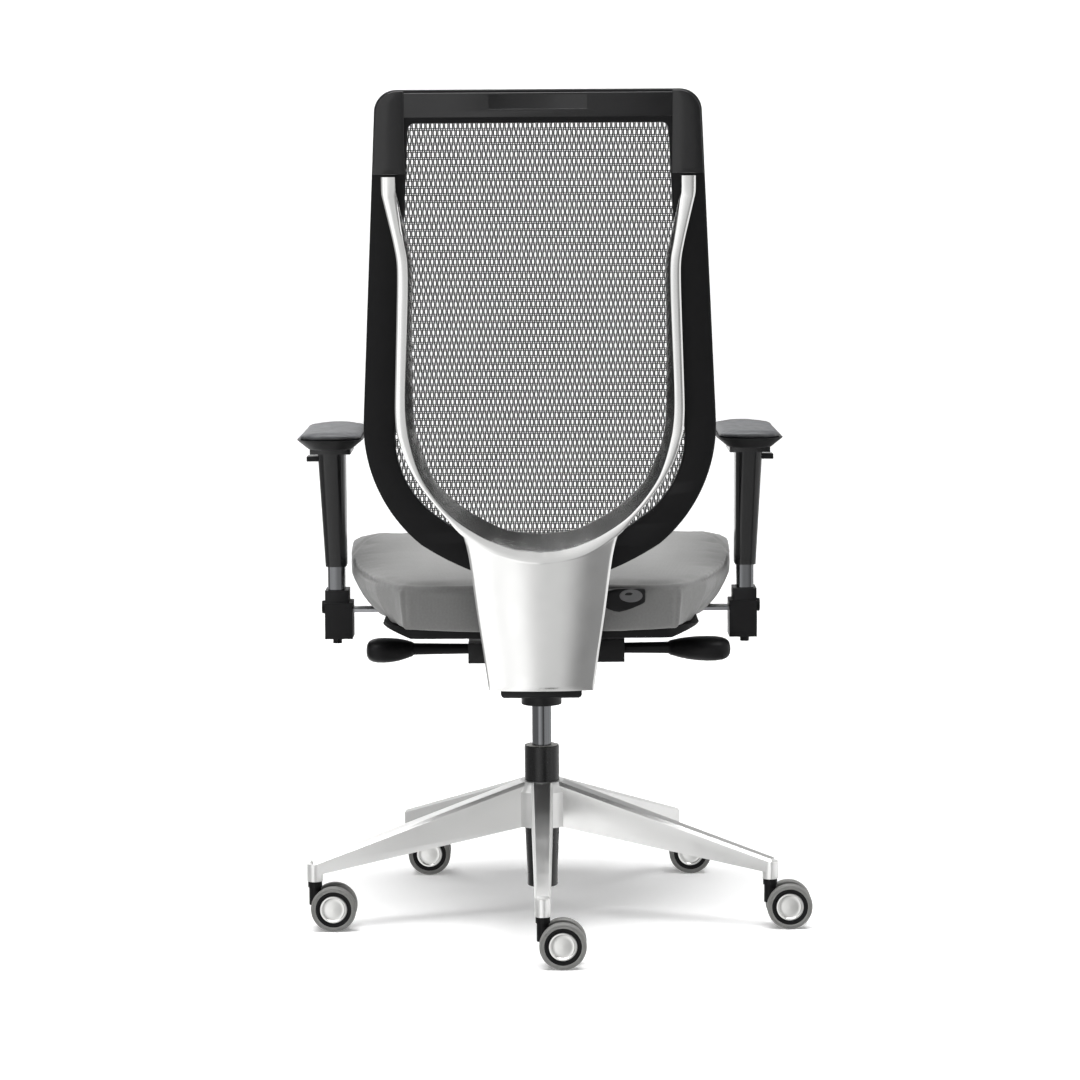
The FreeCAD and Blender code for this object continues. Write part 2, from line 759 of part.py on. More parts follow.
def back():
    low = "{frame_bottom} - 20"
    top = "{frame_top} + 10"
    band = back_band("frame_band", "0", "{frame_thick}", low, top)
    outer = back_plan("frame_outer", frame_outline("0", "{frame_corner}"))
    inner = back_plan("frame_inner", frame_outline("{frame_band}", "{frame_corner}/3"))
    node(cut(common(band, outer), inner), "back_frame")
    sheet = back_band("mesh_band", "{frame_thick} + {gap}", "{mesh_thick}", low, top)
    cloth = back_plan("mesh_plan", frame_outline("{frame_band}/3", "{frame_corner}"))
    node(common(sheet, cloth), "back_mesh")
    cover = back_band("cover_band", "-{cover_thick}", "{cover_thick}", low, top)
    whole = back_plan("cover_outer", frame_outline("2", "{frame_corner}"))
    middle = back_plan("cover_inner", frame_outline("{frame_band} - 6", "{frame_corner}/3"))
    skin = cut(common(cover, whole), middle)
    covers = []
    for side in (-1, 1):
        patch = block("70", "400", "{cover_drop}", "%d*({frame_top_half} - 5)" % side,
                      "{lumbar_y} - 60", "{frame_top} - {cover_drop}")
        covers.append(common(skin, patch))
    node(group(*covers), "corner_covers")
    return band


def yoke(frame_band):
    tip_y = ("({lumbar_y} - {yoke_stand_off} - {lumbar_drop}"
             " - ({yoke_tip_z} - {lumbar_top})*{back_slope})")
    waist_z = "{yoke_tip_z} - {waist_below_tip}"
    knee_y = "{lumbar_y} - 30"
    hip_y = "{lumbar_y} - 25"
    end_y = "{lumbar_y} + 27"
    depth = "{yoke_depth}"
    body = new_body("yoke_band")
    points = [
        (end_y, "{plate_end_z}"),
        (hip_y, "{lumbar_z} - 100", "2"),
        (knee_y, "{lumbar_z} + 60"),
        (tip_y, "{yoke_tip_z}"),
        ("%s - %s" % (tip_y, depth), "{yoke_tip_z}"),
        ("%s - %s" % (knee_y, depth), "{lumbar_z} + 60", "-2"),
        ("%s - %s" % (hip_y, depth), "{lumbar_z} - 100"),
        ("%s - %s*0.6" % (end_y, depth), "{plate_end_z}"),
    ]
    pad(body, outline(new_sketch(body, "YZ_Plane"), points), "2*{yoke_tip_half} + 20", both=True)
    width = "{yoke_width}"
    outer = mirrored([
        ("{plate_end_half}", "{plate_end_z}"),
        ("{plate_top_half}", "{lumbar_z} - 106", "-5"),
        ("{yoke_hip_half} - 84", "{lumbar_z} - 55", "14"),
        ("{yoke_hip_half} - 1", "{lumbar_z} + 88", "1"),
        ("{yoke_waist_half}", waist_z),
        ("{yoke_tip_half}", "{yoke_tip_z} + 1"),
    ])
    full = back_plan("yoke_outer", outer)
    inner = mirrored([
        ("30", "{lumbar_z} - 65", "7"),
        ("{yoke_hip_half} - 93", "{lumbar_z} - 28", "12"),
        ("{yoke_hip_half} - 4 - %s" % width, "{lumbar_z} + 88", "1"),
        ("{yoke_waist_half} - %s" % width, waist_z),
        ("{yoke_tip_half} - %s" % width, "{yoke_tip_z} + 40"),
    ])
    opening = back_plan("yoke_inner", inner)
    casting = cut(common(body, full), opening)
    lugs = [block("120", "14", "18", "0", hip_y + " + 6", "{frame_bottom} + 3")]
    for side in (-1, 1):
        lug_x = "%d*({yoke_tip_half} - 12)" % side
        lugs.append(block("15", "14", "40", lug_x, tip_y + " + 7", "{yoke_tip_z} - 48"))
    pads = cut(fuse(*lugs), frame_band)
    node(fuse(casting, pads), "yoke")


def back_carrier():
    arm_x = "{tray_half} + 7"
    back = "{lumbar_y} + 27"
    pieces = [block("2*({tray_half} + 12)", "12", "29", "0", back + " + 8", "{recline_z} - 14")]
    for side in (-1, 1):
        x = "%d*(%s)" % (side, arm_x)
        long = "{recline_y} - (%s) - 2" % back
        pieces.append(block("10", long, "29", x, "{recline_y} - (%s)/2" % long,
                            "{recline_z} - 14"))
        pieces.append(rod("14.5", "10", "%s - 5" % x, "{recline_y}", "{recline_z} + 0.5", "X"))
    hole = rod("{shaft_radius} + {running}", "2*{tray_half} + 60", "-{tray_half} - 30",
               "{recline_y}", "{recline_z}", "X")
    node(cut(fuse(*pieces), hole), "back_carrier")


def rear_paddle():
    y = "({lumbar_y} + 5)"
    blade_x = "{paddle_pivot} + 27"
    knob = rod("9", "14", "{paddle_pivot}", y + " - 7", "{paddle_z}", "Y")
    body = new_body("rear_blade")
    face = round_corners(blade_x, "{paddle_z}", "{blade_long}", "{blade_tall}", "12")
    pad(body, outline(new_sketch(body, "XZ_Plane", "-1*" + y), face), "12", both=True)
    node(fuse(knob, body), "rear_paddle")


# Armrests
def arm(side_name, side):
    x = "%d*{arm_x}" % side
    y = "{arm_y}"
    name = side_name + "_arm_"
    # bracket bar under the seat: flat at the socket, down to the plate
    body = new_body(name + "bar")
    low = "{bar_low}"
    inner_low = "{plate_low} - {bar_thick}"
    pts = [
        ("%d*({plate_half} - 30)" % side, inner_low),
        ("%d*({pan_half} - 44)" % side, inner_low),
        ("%d*({pan_half} + 6)" % side, low),
        ("%d*({arm_x} + 11.5)" % side, low),
        ("%d*({arm_x} + 11.5)" % side, low + " + {bar_thick}"),
        ("%d*({pan_half} + 12)" % side, low + " + {bar_thick}"),
        ("%d*({pan_half} - 41)" % side, "{plate_low}"),
        ("%d*({plate_half} - 30)" % side, "{plate_low}"),
    ]
    if side < 0:
        pts = pts[::-1]
    pad(body, outline(new_sketch(body, "XZ_Plane"), pts), "{bar_width}", both=True)
    place(body, y=y)
    holes = bracket_screws(side, "3", inner_low, "{bar_thick}")
    node(cut(body, *holes), name + "bracket")
    # lower socket
    middle = "%d*({arm_x} - {socket_shift})" % side
    width = "(2*{socket_half})"
    block_low = block(width, "{post_length} + 12", "{socket_rise} - 18 - {socket_low}",
                      middle, y, "{socket_low}")
    block_high = block("{post_width} + 10", "{post_length} + 8", "18", "%d*({arm_x} - 1)" % side,
                       y, "{socket_rise} - 18")
    stub = rod("6.5", "9", x, y, "{socket_low} - 9")
    cavity = block("{post_width}", "{post_length}", "60", x, y, "{post_low}")
    slot = block("60", "{bar_width} + 2*{running}", "{bar_thick} + 2*{running}",
                 "%d*({arm_x} + 12.4 - 30)" % side, y, "{bar_low} - {running}")
    wall_x = "{arm_x} - {socket_shift} + {socket_half}"
    if side > 0:
        knob_start, pin_start = wall_x + " + {gap}", wall_x + " - 3.4"
    else:
        knob_start, pin_start = "-1*(%s + {gap} + 5)" % wall_x, "-1*(%s + {gap})" % wall_x
    pin = (y, "{knob_z}", "X")
    knob_hole = rod("3 + {running}", "12", "%d*(%s) - 6" % (side, wall_x + " + 2.3"), *pin)
    node(cut(fuse(block_low, block_high, stub), cavity, slot, knob_hole), name + "socket")
    node(fuse(rod("9.5", "5", knob_start, *pin), rod("3", "3.8", pin_start, *pin)),
         name + "knob")
    node(block("{post_width}", "{post_length}", "{post_top} - {post_low}", x, y, "{post_low}"),
         name + "post")
    # sleeve
    shift = "%d*({arm_x} + {sleeve_lean})" % side
    sleeve = tapered(name + "shape",
                     round_corners(x, y, "{post_width} + 6", "{post_length} + 10", "9"),
                     round_corners(shift, y, "{post_width} + 15", "{post_length} + 22", "12"),
                     "{sleeve_low}", "{sleeve_top}")
    flange = block("58", "96", "{flange_top} - {sleeve_top}", shift, y, "{sleeve_top}")
    void = block("{post_width} + 4*{running}", "{post_length} + 4*{running}",
                 "{sleeve_top} - {sleeve_low} - 20", x, y, "{sleeve_low} - 1")
    outer = "{arm_x} + {sleeve_lean} + {post_width}/2 + 7.5"
    notch = block("16", "31", "15", "%d*(%s - 4)" % (side, outer), y, "{sleeve_top} - 16.5")
    node(cut(fuse(sleeve, flange), void, notch), name + "sleeve")
    blade = block("26", "28", "7", "%d*(%s + 3.5)" % (side, outer), y, "{sleeve_top} - 12.5")
    barrel = rod("4.2", "28", "%d*(%s - 4.5)" % (side, outer), y + " - 14",
                 "{sleeve_top} - 9", "Y")
    node(fuse(blade, barrel), name + "trigger")
    # pad shell and pad
    px = "%d*{pad_x}" % side
    py = "{arm_y} - 3"
    shell = tapered(name + "tray",
                    round_corners(px, py, "{pad_width} - 34", "{pad_length} - 34", "22"),
                    round_corners(px, py, "{pad_width}", "{pad_length}", "38"),
                    "{flange_top} + {gap}", "{shell_top}")
    node(shell, name + "pad_shell")
    body = new_body(name + "soft")
    pts = round_corners(px, py, "{pad_width} - 4", "{pad_length} - 4", "36")
    pad(body, outline(new_sketch(body, "XY_Plane", "{shell_top}"), pts), "{pad_top} - {shell_top}")
    node(body, name + "pad")


base_star()
for number, angle in enumerate(LEG_ANGLES, 1):
    caster(number, angle)
gas_column()
mechanism()
paddle_lever("height_lever", 1, "{height_paddle}", True)
paddle_lever("tilt_lever", -1, "{tilt_paddle}", False)
seat_plate()
seat()
yoke(back())
back_carrier()
rear_paddle()
for side_name, side in SIDES:
    arm(side_name, side)

doc.recompute()
faults = []
for thing in doc.Objects:
    if {"Invalid", "Error"} & set(thing.State):
        faults.append("%s (%s) failed" % (thing.Name, thing.Label))
for piece in nodes:
    shape = piece.Shape
    if shape.isNull() or not shape.isValid() or not shape.Solids:
        faults.append("%s has no sound shape" % piece.Label)
if faults:
    raise RuntimeError("\n".join(faults))
for piece in nodes:
    piece.Shape.exportStep("parts/%s.step" % piece.Label)
print("%d nodes" % len(nodes))
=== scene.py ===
import json
import math

import bmesh
import bpy
import numpy as np
from bpy.props import FloatProperty, FloatVectorProperty, PointerProperty
from mathutils import Matrix, Vector
from mathutils.bvhtree import BVHTree

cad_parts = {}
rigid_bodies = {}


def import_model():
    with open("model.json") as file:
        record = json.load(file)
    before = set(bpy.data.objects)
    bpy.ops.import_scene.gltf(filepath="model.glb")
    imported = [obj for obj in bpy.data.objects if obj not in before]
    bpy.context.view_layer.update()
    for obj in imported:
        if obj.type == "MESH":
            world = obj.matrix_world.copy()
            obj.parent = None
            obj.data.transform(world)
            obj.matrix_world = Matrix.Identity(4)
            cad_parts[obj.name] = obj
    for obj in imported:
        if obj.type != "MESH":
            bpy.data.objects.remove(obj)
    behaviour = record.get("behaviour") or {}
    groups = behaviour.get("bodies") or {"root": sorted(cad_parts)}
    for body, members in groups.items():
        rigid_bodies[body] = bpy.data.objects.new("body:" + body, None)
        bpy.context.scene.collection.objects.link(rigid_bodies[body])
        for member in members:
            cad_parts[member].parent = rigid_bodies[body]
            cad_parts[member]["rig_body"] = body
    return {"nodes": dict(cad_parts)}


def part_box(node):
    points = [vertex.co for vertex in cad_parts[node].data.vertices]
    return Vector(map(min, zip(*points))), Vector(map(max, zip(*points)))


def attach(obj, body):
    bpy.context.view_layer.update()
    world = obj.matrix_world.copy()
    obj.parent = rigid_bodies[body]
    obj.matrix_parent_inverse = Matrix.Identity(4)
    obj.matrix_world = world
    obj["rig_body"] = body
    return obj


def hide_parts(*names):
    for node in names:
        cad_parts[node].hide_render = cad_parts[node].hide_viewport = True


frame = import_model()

bl_info = {
    "name": "Mesh-back Task Chair",
    "version": (1, 0, 0),
    "blender": (4, 5, 0),
    "location": "View3D > Sidebar > Chair",
    "description": "Builds the visible pieces of a mesh-back task chair round its CAD frame",
    "category": "Object",
}

MM = 0.001
CASTERS = range(1, 6)

# The back's rear face: a lumbar arc and a straight top that leans back
LUMBAR_Z, LUMBAR_Y, LUMBAR_RADIUS, LUMBAR_RISE = 0.640, -0.207, 0.520, 0.100


def linear(code):
    """An sRGB hex colour as linear red, green and blue."""
    parts = [int(code[i:i + 2], 16) / 255 for i in (1, 3, 5)]
    return [c / 12.92 if c <= 0.04045 else ((c + 0.055) / 1.055) ** 2.4 for c in parts]


class ChairColours(bpy.types.PropertyGroup):
    """Colours that a user would change."""
    seat: FloatVectorProperty(
        name="Seat fabric", description="Colour of the seat's woven cover",
        subtype="COLOR", min=0, max=1, default=linear("#6a6a69"))
    pad: FloatVectorProperty(
        name="Arm pads", description="Colour of the foamed arm pads",
        subtype="COLOR", min=0, max=1, default=linear("#3e3f41"))
    yarn: FloatVectorProperty(
        name="Back mesh", description="Colour of the knitted back's yarn",
        subtype="COLOR", min=0, max=1, default=linear("#1f1f20"))
    plastic: FloatVectorProperty(
        name="Mouldings", description="Colour of the black mouldings",
        subtype="COLOR", min=0, max=1, default=linear("#101011"))
    tyre: FloatVectorProperty(
        name="Tyres", description="Colour of the soft caster tyres",
        subtype="COLOR", min=0, max=1, default=linear("#6c6c6a"))


class ChairSizes(bpy.types.PropertyGroup):
    """Sizes that a user would change, in metres."""
    yarn_pitch: FloatProperty(
        name="Wale spacing", description="Distance between the upright yarns of the back",
        subtype="DISTANCE", unit="LENGTH", default=0.0062, min=0.004, max=0.02)
    yarn_row: FloatProperty(
        name="Course height", description="Height of one course of the back's knit",
        subtype="DISTANCE", unit="LENGTH", default=0.0096, min=0.003, max=0.02)
    yarn_width: FloatProperty(
        name="Yarn width", description="Width of one upright yarn",
        subtype="DISTANCE", unit="LENGTH", default=0.00175, min=0.0005, max=0.003)
    cushion_voxel: FloatProperty(
        name="Cushion detail", description="Voxel size of the cushion before it is stuffed",
        subtype="DISTANCE", unit="LENGTH", default=0.0055, min=0.004, max=0.02)


# ---------------------------------------------------------------- small tools
def deselect():
    """Nothing selected, in object mode."""
    if bpy.context.object and bpy.context.object.mode != "OBJECT":
        bpy.ops.object.mode_set(mode="OBJECT")
    bpy.ops.object.select_all(action="DESELECT")


def pick(thing):
    """Selects one thing alone and makes it the active one."""
    deselect()
    thing.select_set(True)
    bpy.context.view_layer.objects.active = thing


def new_mesh(name, points, faces):
    """An object from points and faces, with its place in its mesh."""
    mesh = bpy.data.meshes.new(name)
    mesh.from_pydata([tuple(p) for p in points], [], faces)
    mesh.update()
    thing = bpy.data.objects.new(name, mesh)
    bpy.context.scene.collection.objects.link(thing)
    return thing


def apply(thing, kind, **settings):
    """Adds a modifier with its settings and applies it."""
    pick(thing)
    modifier = thing.modifiers.new(kind.title(), kind)
    for name, setting in settings.items():
        setattr(modifier, name, setting)
    bpy.ops.object.modifier_apply(modifier=modifier.name)


def smooth(thing, degrees):
    """Smooth shading, but for edges sharper than an angle."""
    pick(thing)
    bpy.ops.object.shade_smooth_by_angle(angle=math.radians(degrees))


def outwards(thing):
    """Merges doubles and turns every face outwards."""
    pick(thing)
    bpy.ops.object.mode_set(mode="EDIT")
    bpy.ops.mesh.select_all(action="SELECT")
    bpy.ops.mesh.remove_doubles(threshold=1e-6)
    bpy.ops.mesh.normals_make_consistent(inside=False)
    bpy.ops.object.mode_set(mode="OBJECT")


def settle(thing, body, material, replaced=()):
    """Gives a finished piece its material, its body and what it stands for."""
    thing.data.materials.clear()
    thing.data.materials.append(material)
    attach(thing, body)
    if replaced:
        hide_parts(*replaced)
    return thing


def body_of(node):
    return frame["nodes"][node]["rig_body"]


def merged_copy(node, name):
    """A copy of a CAD node's mesh with its loose triangles joined and its flat faces whole."""
    thing = bpy.data.objects.new(name, frame["nodes"][node].data.copy())
    bpy.context.scene.collection.objects.link(thing)
    thing.data.materials.clear()
    pick(thing)
    if thing.data.has_custom_normals:
        bpy.ops.mesh.customdata_custom_splitnormals_clear()
    bpy.ops.object.mode_set(mode="EDIT")
    bpy.ops.mesh.select_all(action="SELECT")
    bpy.ops.mesh.remove_doubles(threshold=2e-6)
    bpy.ops.mesh.dissolve_limited(angle_limit=math.radians(0.6))
    bpy.ops.object.mode_set(mode="OBJECT")
    return thing


def eased(node, width, material, segments=3, shade=40):
    """Stands for a CAD node, with its sharp edges eased to a radius in millimetres."""
    thing = merged_copy(node, node + "_eased")
    apply(thing, "BEVEL", width=width * MM, segments=segments, limit_method="ANGLE",
          angle_limit=math.radians(28), harden_normals=False, use_clamp_overlap=True,
          miter_outer="MITER_ARC")
    smooth(thing, shade)
    return settle(thing, body_of(node), material, [node])


def lofted(name, rings, closed=False):
    """Skins rings of points, closed in a loop or with a face at each end."""
    count, sides = len(rings), len(rings[0])
    points = [p for ring in rings for p in ring]
    faces = []
    for i in range(count if closed else count - 1):
        j = (i + 1) % count
        for k in range(sides):
            n = (k + 1) % sides
            faces.append((i * sides + k, i * sides + n, j * sides + n, j * sides + k))
    if not closed:
        faces.append(tuple(range(sides - 1, -1, -1)))
        faces.append(tuple((count - 1) * sides + k for k in range(sides)))
    thing = new_mesh(name, points, faces)
    outwards(thing)
    return thing


def block(centre, size, ease, segments):
    """A cube brought to a size in metres at a place, with its edges eased."""
    deselect()
    bpy.ops.mesh.primitive_cube_add(size=1, location=centre, scale=size)
    thing = bpy.context.object
    bpy.ops.object.transform_apply(location=True, rotation=True, scale=True)
    apply(thing, "BEVEL", width=ease * MM, segments=segments)
    return thing


def joined(thing, others):
    """Joins other pieces to one and gives it back."""
    for other in others:
        pick(thing)
        other.select_set(True)
        bpy.ops.object.join()
    return thing


def inset_copy(node, name, factors):
    """A merged copy of a CAD node, drawn in about the middle of its box."""
    thing = merged_copy(node, name)
    low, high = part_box(node)
    middle = (low + high) / 2
    thing.data.transform(Matrix.Translation(middle) @ Matrix.Diagonal((*factors, 1))
                         @ Matrix.Translation(-middle))
    return thing, low, high


def points_of(thing):
    return np.array([v.co for v in thing.data.vertices])


def move_points(thing, co):
    thing.data.vertices.foreach_set("co", co.ravel())
    thing.data.update()


def turned(name, profile, centre, axis, segments=64):
    """Spins a profile of (radius, along) in millimetres about an axis through centre."""
    deselect()
    radius, along = profile[0]
    bpy.ops.mesh.primitive_circle_add(vertices=segments, radius=radius * MM,
                                      location=(0, 0, along * MM))
    thing = bpy.context.object
    thing.name = name
    bpy.ops.object.mode_set(mode="EDIT")
    bpy.ops.mesh.select_all(action="SELECT")
    for radius_now, along_now in profile[1:]:
        rise = (along_now - along) * MM
        bpy.ops.mesh.extrude_region_move(TRANSFORM_OT_translate={"value": (0, 0, rise)})
        scale = radius_now / radius
        bpy.ops.transform.resize(value=(scale, scale, 1),
                                 center_override=(0, 0, along_now * MM))
        radius, along = radius_now, along_now
    bpy.ops.object.mode_set(mode="OBJECT")
    bpy.ops.object.transform_apply(location=True, rotation=True, scale=True)
    turn = Vector((0, 0, 1)).rotation_difference(Vector(axis)).to_matrix().to_4x4()
    thing.data.transform(Matrix.Translation(centre) @ turn)
    outwards(thing)
    return thing


def curve_through(points, steps):
    """A smooth Catmull-Rom line through points, each given as numbers of any count."""
    p = np.array(points, float)
    p = np.vstack([2 * p[0] - p[1], p, 2 * p[-1] - p[-2]])
    out = []
    for i in range(1, len(p) - 2):
        for t in np.arange(steps) / steps:
            a, b, c, d = p[i - 1], p[i], p[i + 1], p[i + 2]
            out.append(0.5 * (2 * b + (c - a) * t + (2 * a - 5 * b + 4 * c - d) * t ** 2
                              + (3 * b - a - 3 * c + d) * t ** 3))
    out.append(p[-2])
    return np.array(out)


def back_y(z):
    """Y of the back's rear face at a height, in metres."""
    z = np.asarray(z, float)
    drop = LUMBAR_RADIUS - np.sqrt(LUMBAR_RADIUS ** 2 - np.minimum(
        np.abs(z - LUMBAR_Z), LUMBAR_RISE * 1.3) ** 2)
    top_drop = LUMBAR_RADIUS - math.sqrt(LUMBAR_RADIUS ** 2 - LUMBAR_RISE ** 2)
    slope = LUMBAR_RISE / math.sqrt(LUMBAR_RADIUS ** 2 - LUMBAR_RISE ** 2)
    straight = top_drop + (z - LUMBAR_Z - LUMBAR_RISE) * slope
    return LUMBAR_Y - np.where(z > LUMBAR_Z + LUMBAR_RISE, straight, drop)


# ---------------------------------------------------------------- materials
# A wave texture turns once every 2 pi / 20 of its scale, here for a period in mm
WAVE_SCALE = 1000 * math.pi / 10
EVEN = (1, 1, 1)
MATERIALS = {}


def add(tree, kind, values=None, links=None, **settings):
    """Adds a shader node, sets its sockets and properties, and links its inputs."""
    made = tree.nodes.new("ShaderNode" + kind)
    for name, setting in settings.items():
        setattr(made, name, setting)
    for name, value in (values or {}).items():
        made.inputs[name].default_value = value
    for name, source in (links or {}).items():
        tree.links.new(source, made.inputs[name])
    return made


def finish(name, colour, roughness, mottle, rough_mottle, bumps, sockets=None, edge_highlight=None):
    """A surface whose colour and roughness wander, with bump layers of a real size.

    mottle and rough_mottle are (size in mm, amount); a bump is (texture, size in mm, height
    in mm, stretch of the pattern along x, y, z); edge_highlight is (hex colour, amount), a
    painted highlight: a lighter colour laid on the convex edges.
    """
    material = bpy.data.materials.new(name)
    material.use_nodes = True
    tree = material.node_tree
    tree.nodes.clear()
    place = add(tree, "TexCoord").outputs["Object"]
    size, amount = mottle
    clouds = add(tree, "TexNoise", {"Scale": 1000 / size, "Detail": 4.0}, {"Vector": place})
    low = [c * (1 - amount) for c in colour] + [1]
    high = [min(1, c * (1 + amount)) for c in colour] + [1]
    tint = add(tree, "Mix", {6: low, 7: high}, {0: clouds.outputs["Fac"]}, data_type="RGBA")
    shade = tint.outputs[2]
    # Painted highlight: convex edges, where Pointiness is high, are mixed toward a lighter colour
    if edge_highlight:
        edge = add(tree, "NewGeometry").outputs["Pointiness"]
        ramp = add(tree, "MapRange", {1: 0.52, 2: 0.60, 3: 0.0, 4: edge_highlight[1]}, {0: edge})
        highlighted = add(tree, "Mix", {7: linear(edge_highlight[0]) + [1]},
                   {0: ramp.outputs[0], 6: shade}, data_type="RGBA")
        shade = highlighted.outputs[2]
    size, amount = rough_mottle
    patches = add(tree, "TexNoise", {"Scale": 1000 / size, "Detail": 5.0}, {"Vector": place})
    rough = add(tree, "MapRange", {1: 0.3, 2: 0.7, 3: roughness - amount, 4: roughness + amount},
                {0: patches.outputs["Fac"]})
    normal = None
    for texture, size, height, stretch in bumps:
        laid = add(tree, "Mapping", {"Scale": stretch}, {"Vector": place})
        if texture == "Wave":
            pattern = add(tree, "TexWave", {"Scale": WAVE_SCALE / size},
                          {"Vector": laid.outputs[0]}, bands_direction="X")
        elif texture == "Voronoi":
            pattern = add(tree, "TexVoronoi", {"Scale": 1000 / size}, {"Vector": laid.outputs[0]})
        else:
            pattern = add(tree, "TexNoise", {"Scale": 1000 / size, "Detail": 2.0},
                          {"Vector": laid.outputs[0]})
        links = {"Height": pattern.outputs[0]}
        if normal:
            links["Normal"] = normal
        normal = add(tree, "Bump", {"Strength": 1.0, "Distance": height * MM},
                     links).outputs["Normal"]
    values = {"Roughness": roughness}
    values.update(sockets or {})
    shader = add(tree, "BsdfPrincipled", values, {
        "Base Color": shade, "Roughness": rough.outputs[0], "Normal": normal})
    add(tree, "OutputMaterial", None, {"Surface": shader.outputs[0]})
    return material


def make_materials(colours):
    made = MATERIALS
    # Die-cast aluminium, ground and polished: mirror-like, with faint cloudy patches
    # and a slight waviness left by the wheel
    made["polished"] = finish(
        "polished_cast_aluminium", linear("#d9d9d8"), 0.17, (70, 0.03), (45, 0.04),
        [("Noise", 34, 0.06, EVEN), ("Noise", 0.9, 0.003, (1, 1, 0.08))], {"Metallic": 1.0})
    # The same casting with a satin polish: soft streaks along the ribs, hazy highlights
    made["satin"] = finish(
        "satin_polished_cast_aluminium", linear("#d8d8d7"), 0.36, (60, 0.04), (30, 0.05),
        [("Noise", 26, 0.05, EVEN), ("Noise", 0.9, 0.004, (1, 1, 0.1))], {"Metallic": 0.8})
    # Glass-filled nylon, moulded in a spark-eroded tool: black with a fine dry grain, and a lighter
    # colour painted on its convex edges as a painted highlight
    made["nylon"] = finish(
        "moulded_glass_filled_nylon", list(colours.plastic), 0.42, (40, 0.12), (18, 0.06),
        [("Noise", 0.8, 0.03, EVEN)], {"IOR": 1.53, "Specular IOR Level": 0.1},
        # 2c2c2d on the convex edges: a painted highlight
        ("#2c2c2d", 0.35))
    # ABS moulded in a polished tool: black and glossy
    made["gloss"] = finish(
        "gloss_moulded_abs", linear("#121213"), 0.2, (60, 0.1), (30, 0.05),
        [("Noise", 25, 0.03, EVEN)],
        {"IOR": 1.54, "Specular IOR Level": 0.3, "Coat Weight": 0.08, "Coat Roughness": 0.1})
    # Mild steel with baked powder coat: satin black with a slight orange peel
    made["powder"] = finish(
        "powder_coated_steel", linear("#0f0f10"), 0.45, (50, 0.1), (20, 0.07),
        [("Noise", 2.2, 0.04, EVEN)], {"IOR": 1.5, "Specular IOR Level": 0.2})
    # Steel tube with sprayed black enamel: smooth satin
    made["enamel"] = finish(
        "black_enamelled_tube", linear("#070708"), 0.28, (60, 0.1), (25, 0.05),
        [("Noise", 6, 0.01, EVEN)], {"IOR": 1.5, "Specular IOR Level": 0.35})
    # Steel rod, ground and hard-chromed: bright with fine rings from grinding
    made["chrome"] = finish(
        "ground_chromed_steel", linear("#6a6b6d"), 0.12, (40, 0.03), (12, 0.03),
        [("Noise", 0.6, 0.002, (0.1, 0.1, 1))], {"Metallic": 1.0})
    # Zinc-plated steel: pale and slightly cloudy
    made["zinc"] = finish(
        "zinc_plated_steel", linear("#8f9092"), 0.34, (14, 0.08), (8, 0.08),
        [("Noise", 1.5, 0.01, EVEN)], {"Metallic": 1.0})
    # Acetal, turned: waxy off-white
    made["acetal"] = finish(
        "turned_acetal", linear("#d8d6cf"), 0.4, (30, 0.02), (15, 0.05),
        [("Noise", 0.7, 0.01, (1, 1, 6))], {"IOR": 1.48})
    # Cast polyurethane tyre: matt grey, with a lighter colour painted on its shoulders and sidewall
    # ridge as a painted highlight
    made["tyre"] = finish(
        "cast_polyurethane_tyre", list(colours.tyre), 0.55, (9, 0.1), (6, 0.08),
        # 9a9a96 on the convex shoulders and ridge: a painted highlight
        [("Noise", 0.9, 0.04, EVEN)], {"IOR": 1.5}, ("#9a9a96", 0.3))
    # Thermoplastic elastomer thumb pad: matt dark grey with a dry bloom
    made["grip"] = finish(
        "moulded_soft_elastomer", linear("#4c4c4d"), 0.7, (8, 0.06), (6, 0.05),
        [("Noise", 0.8, 0.03, EVEN)], {"IOR": 1.5})
    # Pressed hub cap with a satin nickel finish: pale, softly shining
    made["cap"] = finish(
        "satin_nickel_hub_cap", linear("#d2d2d0"), 0.33, (12, 0.03), (7, 0.04),
        [("Noise", 9, 0.03, EVEN)], {"Metallic": 1.0})
    # Moulded polyurethane foam with an integral skin: fine leather-like pebble
    made["pad"] = finish(
        "integral_skin_polyurethane", list(colours.pad), 0.5, (25, 0.06), (10, 0.06),
        [("Voronoi", 1.6, 0.08, EVEN), ("Noise", 12, 0.1, EVEN)], {"IOR": 1.46})
    # Woven polyester upholstery: two-tone yarn in a plain weave of about 1.2 mm, softly
    # mottled, drawn half as coarse again so that the weave still shows
    made["fabric"] = finish(
        "woven_polyester_upholstery", list(colours.seat), 0.85, (3, 0.16), (30, 0.04),
        [("Noise", 55, 0.5, EVEN), ("Wave", 1.8604, 0.16, (1, 0.02, 0.02)),
         ("Wave", 1.8604, 0.16, (0.02, 1, 1)), ("Noise", 1.2, 0.12, EVEN)],
        {"IOR": 1.45, "Sheen Weight": 0.25, "Sheen Roughness": 0.5})
    # Knitted polyester yarn of the back: dark, with short bright fibres along each thread
    made["yarn"] = finish(
        "knitted_polyester_yarn", list(colours.yarn), 0.6, (5, 0.3), (10, 0.05),
        [("Noise", 0.7, 0.08, (1, 1, 0.3))],
        {"IOR": 1.5, "Specular IOR Level": 0.25, "Sheen Weight": 0.08, "Sheen Roughness": 0.4})


def paint(nodes, material):
    """Gives CAD nodes that keep their shape a finish."""
    for name in nodes:
        thing = frame["nodes"][name]
        thing.data.materials.clear()
        thing.data.materials.append(MATERIALS[material])


